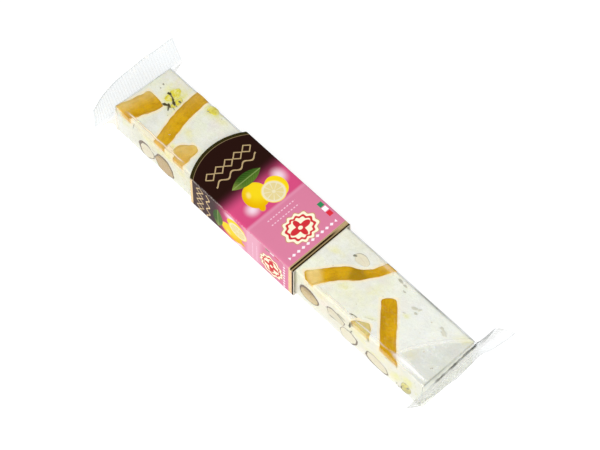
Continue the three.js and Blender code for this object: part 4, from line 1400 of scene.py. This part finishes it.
def printMaterial():
    # the parts of the print are mixed over each other, and where foil or the painted glint is 1 it is gold
    paint = Paint("printed card")
    place = paint.millimetres()
    x, y, z = paint.parts(place)
    wayRound = paint.value("wayRound")
    wide, tall = sleeve["width"] / 2, sleeve["height"]
    away = abs(wayRound)
    onTop = paint.math("LESS_THAN", away, wide) * paint.step(z, 1.0, 2.0)
    onBase = paint.high(paint.math("GREATER_THAN", away, wide + tall), paint.step(z, 0.4, 0.3))
    # how far across the panel's own design: the sides repeat the top's, a little smaller
    right = paint.step(wayRound, -0.1, 0.1)
    centre = (wide + 11.9) * (right * 2 - 1)
    v = wayRound * onTop + (wayRound - centre) * 1.25 * (1 - onTop)

    colour = printGround(paint, x, v, onTop)
    colour, leaf = printLemons(paint, x, v, colour)
    colour = printOrnaments(paint, x, v, colour)
    # gold on the dark field: a chain of lozenges over a waving line, and the leaf lies on it
    outlines = paint.between(lozenges(paint, x, v, -37.4, 2.1, 5.0, 2.5), 0.80, 1.08, 0.05)
    ribbon = paint.step(abs(x + 32.6 - paint.wave(v * 0.95) * 0.9), 0.42, 0.25)
    foilAndGlint = paint.high(outlines * paint.step(abs(v), 12.6, 12.4), ribbon * paint.step(abs(v), 11.6, 11.4))
    colour, foilAndGlint = printEdges(paint, x, y, onTop, colour, foilAndGlint * (1 - leaf))

    # the underside is bare pink between the gold edges
    plain = paint.mix(paint.step(x, -31, -21), inks["aubergine"], inks["pink"])
    colour = paint.mix(onBase, colour, plain)
    foilAndGlint = foilAndGlint * (1 - onBase * paint.between(x, -41, 14.5))
    shimmer = paint.mix(paint.noise(place, 0.5, 2), inks["gold"], inks["paleGold"])
    colour = paint.mix(foilAndGlint, colour, shimmer)

    # the folds show the card through the cracked print, which also stands as a painted highlight along them
    fold = paint.low(abs(away - wide), abs(away - wide - tall))
    crackAndGleam = paint.step(fold, 0.22, 0.05) * paint.step(paint.noise(place, 0.7, 3), 0.35, 0.62)
    colour = paint.mix(crackAndGleam * 0.3, colour, (0.80, 0.72, 0.66))
    fibres = paint.noise(place, 0.22, 3)
    normal = paint.bump(paint.noise(place, 6, 2) * 0.8 + fibres * 0.05 + foilAndGlint * 0.08, 0.12, 0.6)
    rough = 0.36 - foilAndGlint * 0.10 + crackAndGleam * 0.3 + (fibres - 0.5) * 0.08
    shader = paint.surface(Base_Color=colour, Roughness=rough, Metallic=foilAndGlint * 0.55, Normal=normal,
                           Specular_IOR_Level=0.04)
    return paint.finish(shader)


def boardMaterial():
    # grey-brown card from one noise, with a few darker flecks from another
    paint = Paint("bare card")
    place = paint.millimetres()
    fibre = paint.noise(place, 0.5, 4, 0.65)
    flecks = paint.step(paint.noise(place, 0.35, 2), 0.66, 0.72)
    colour = paint.mix(fibre, (0.62, 0.56, 0.46), (0.80, 0.76, 0.68))
    colour = paint.mix(flecks * 0.5, colour, (0.40, 0.34, 0.26))
    normal = paint.bump(fibre, 0.06, 0.8)
    shader = paint.surface(Base_Color=colour, Roughness=0.8, Normal=normal)
    return paint.finish(shader)


points, faces, wayRound, faceMaterial = sleeveShell()
materials = [printMaterial(), boardMaterial()]
sleevePiece = makePiece("card_sleeve", points, faces, materials, {"wayRound": wayRound},
                        faceMaterial, weld=False, sharp=40)
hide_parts("sleeve")
print("sleeve made")

bpy.context.scene.view_settings.view_transform = "Standard"
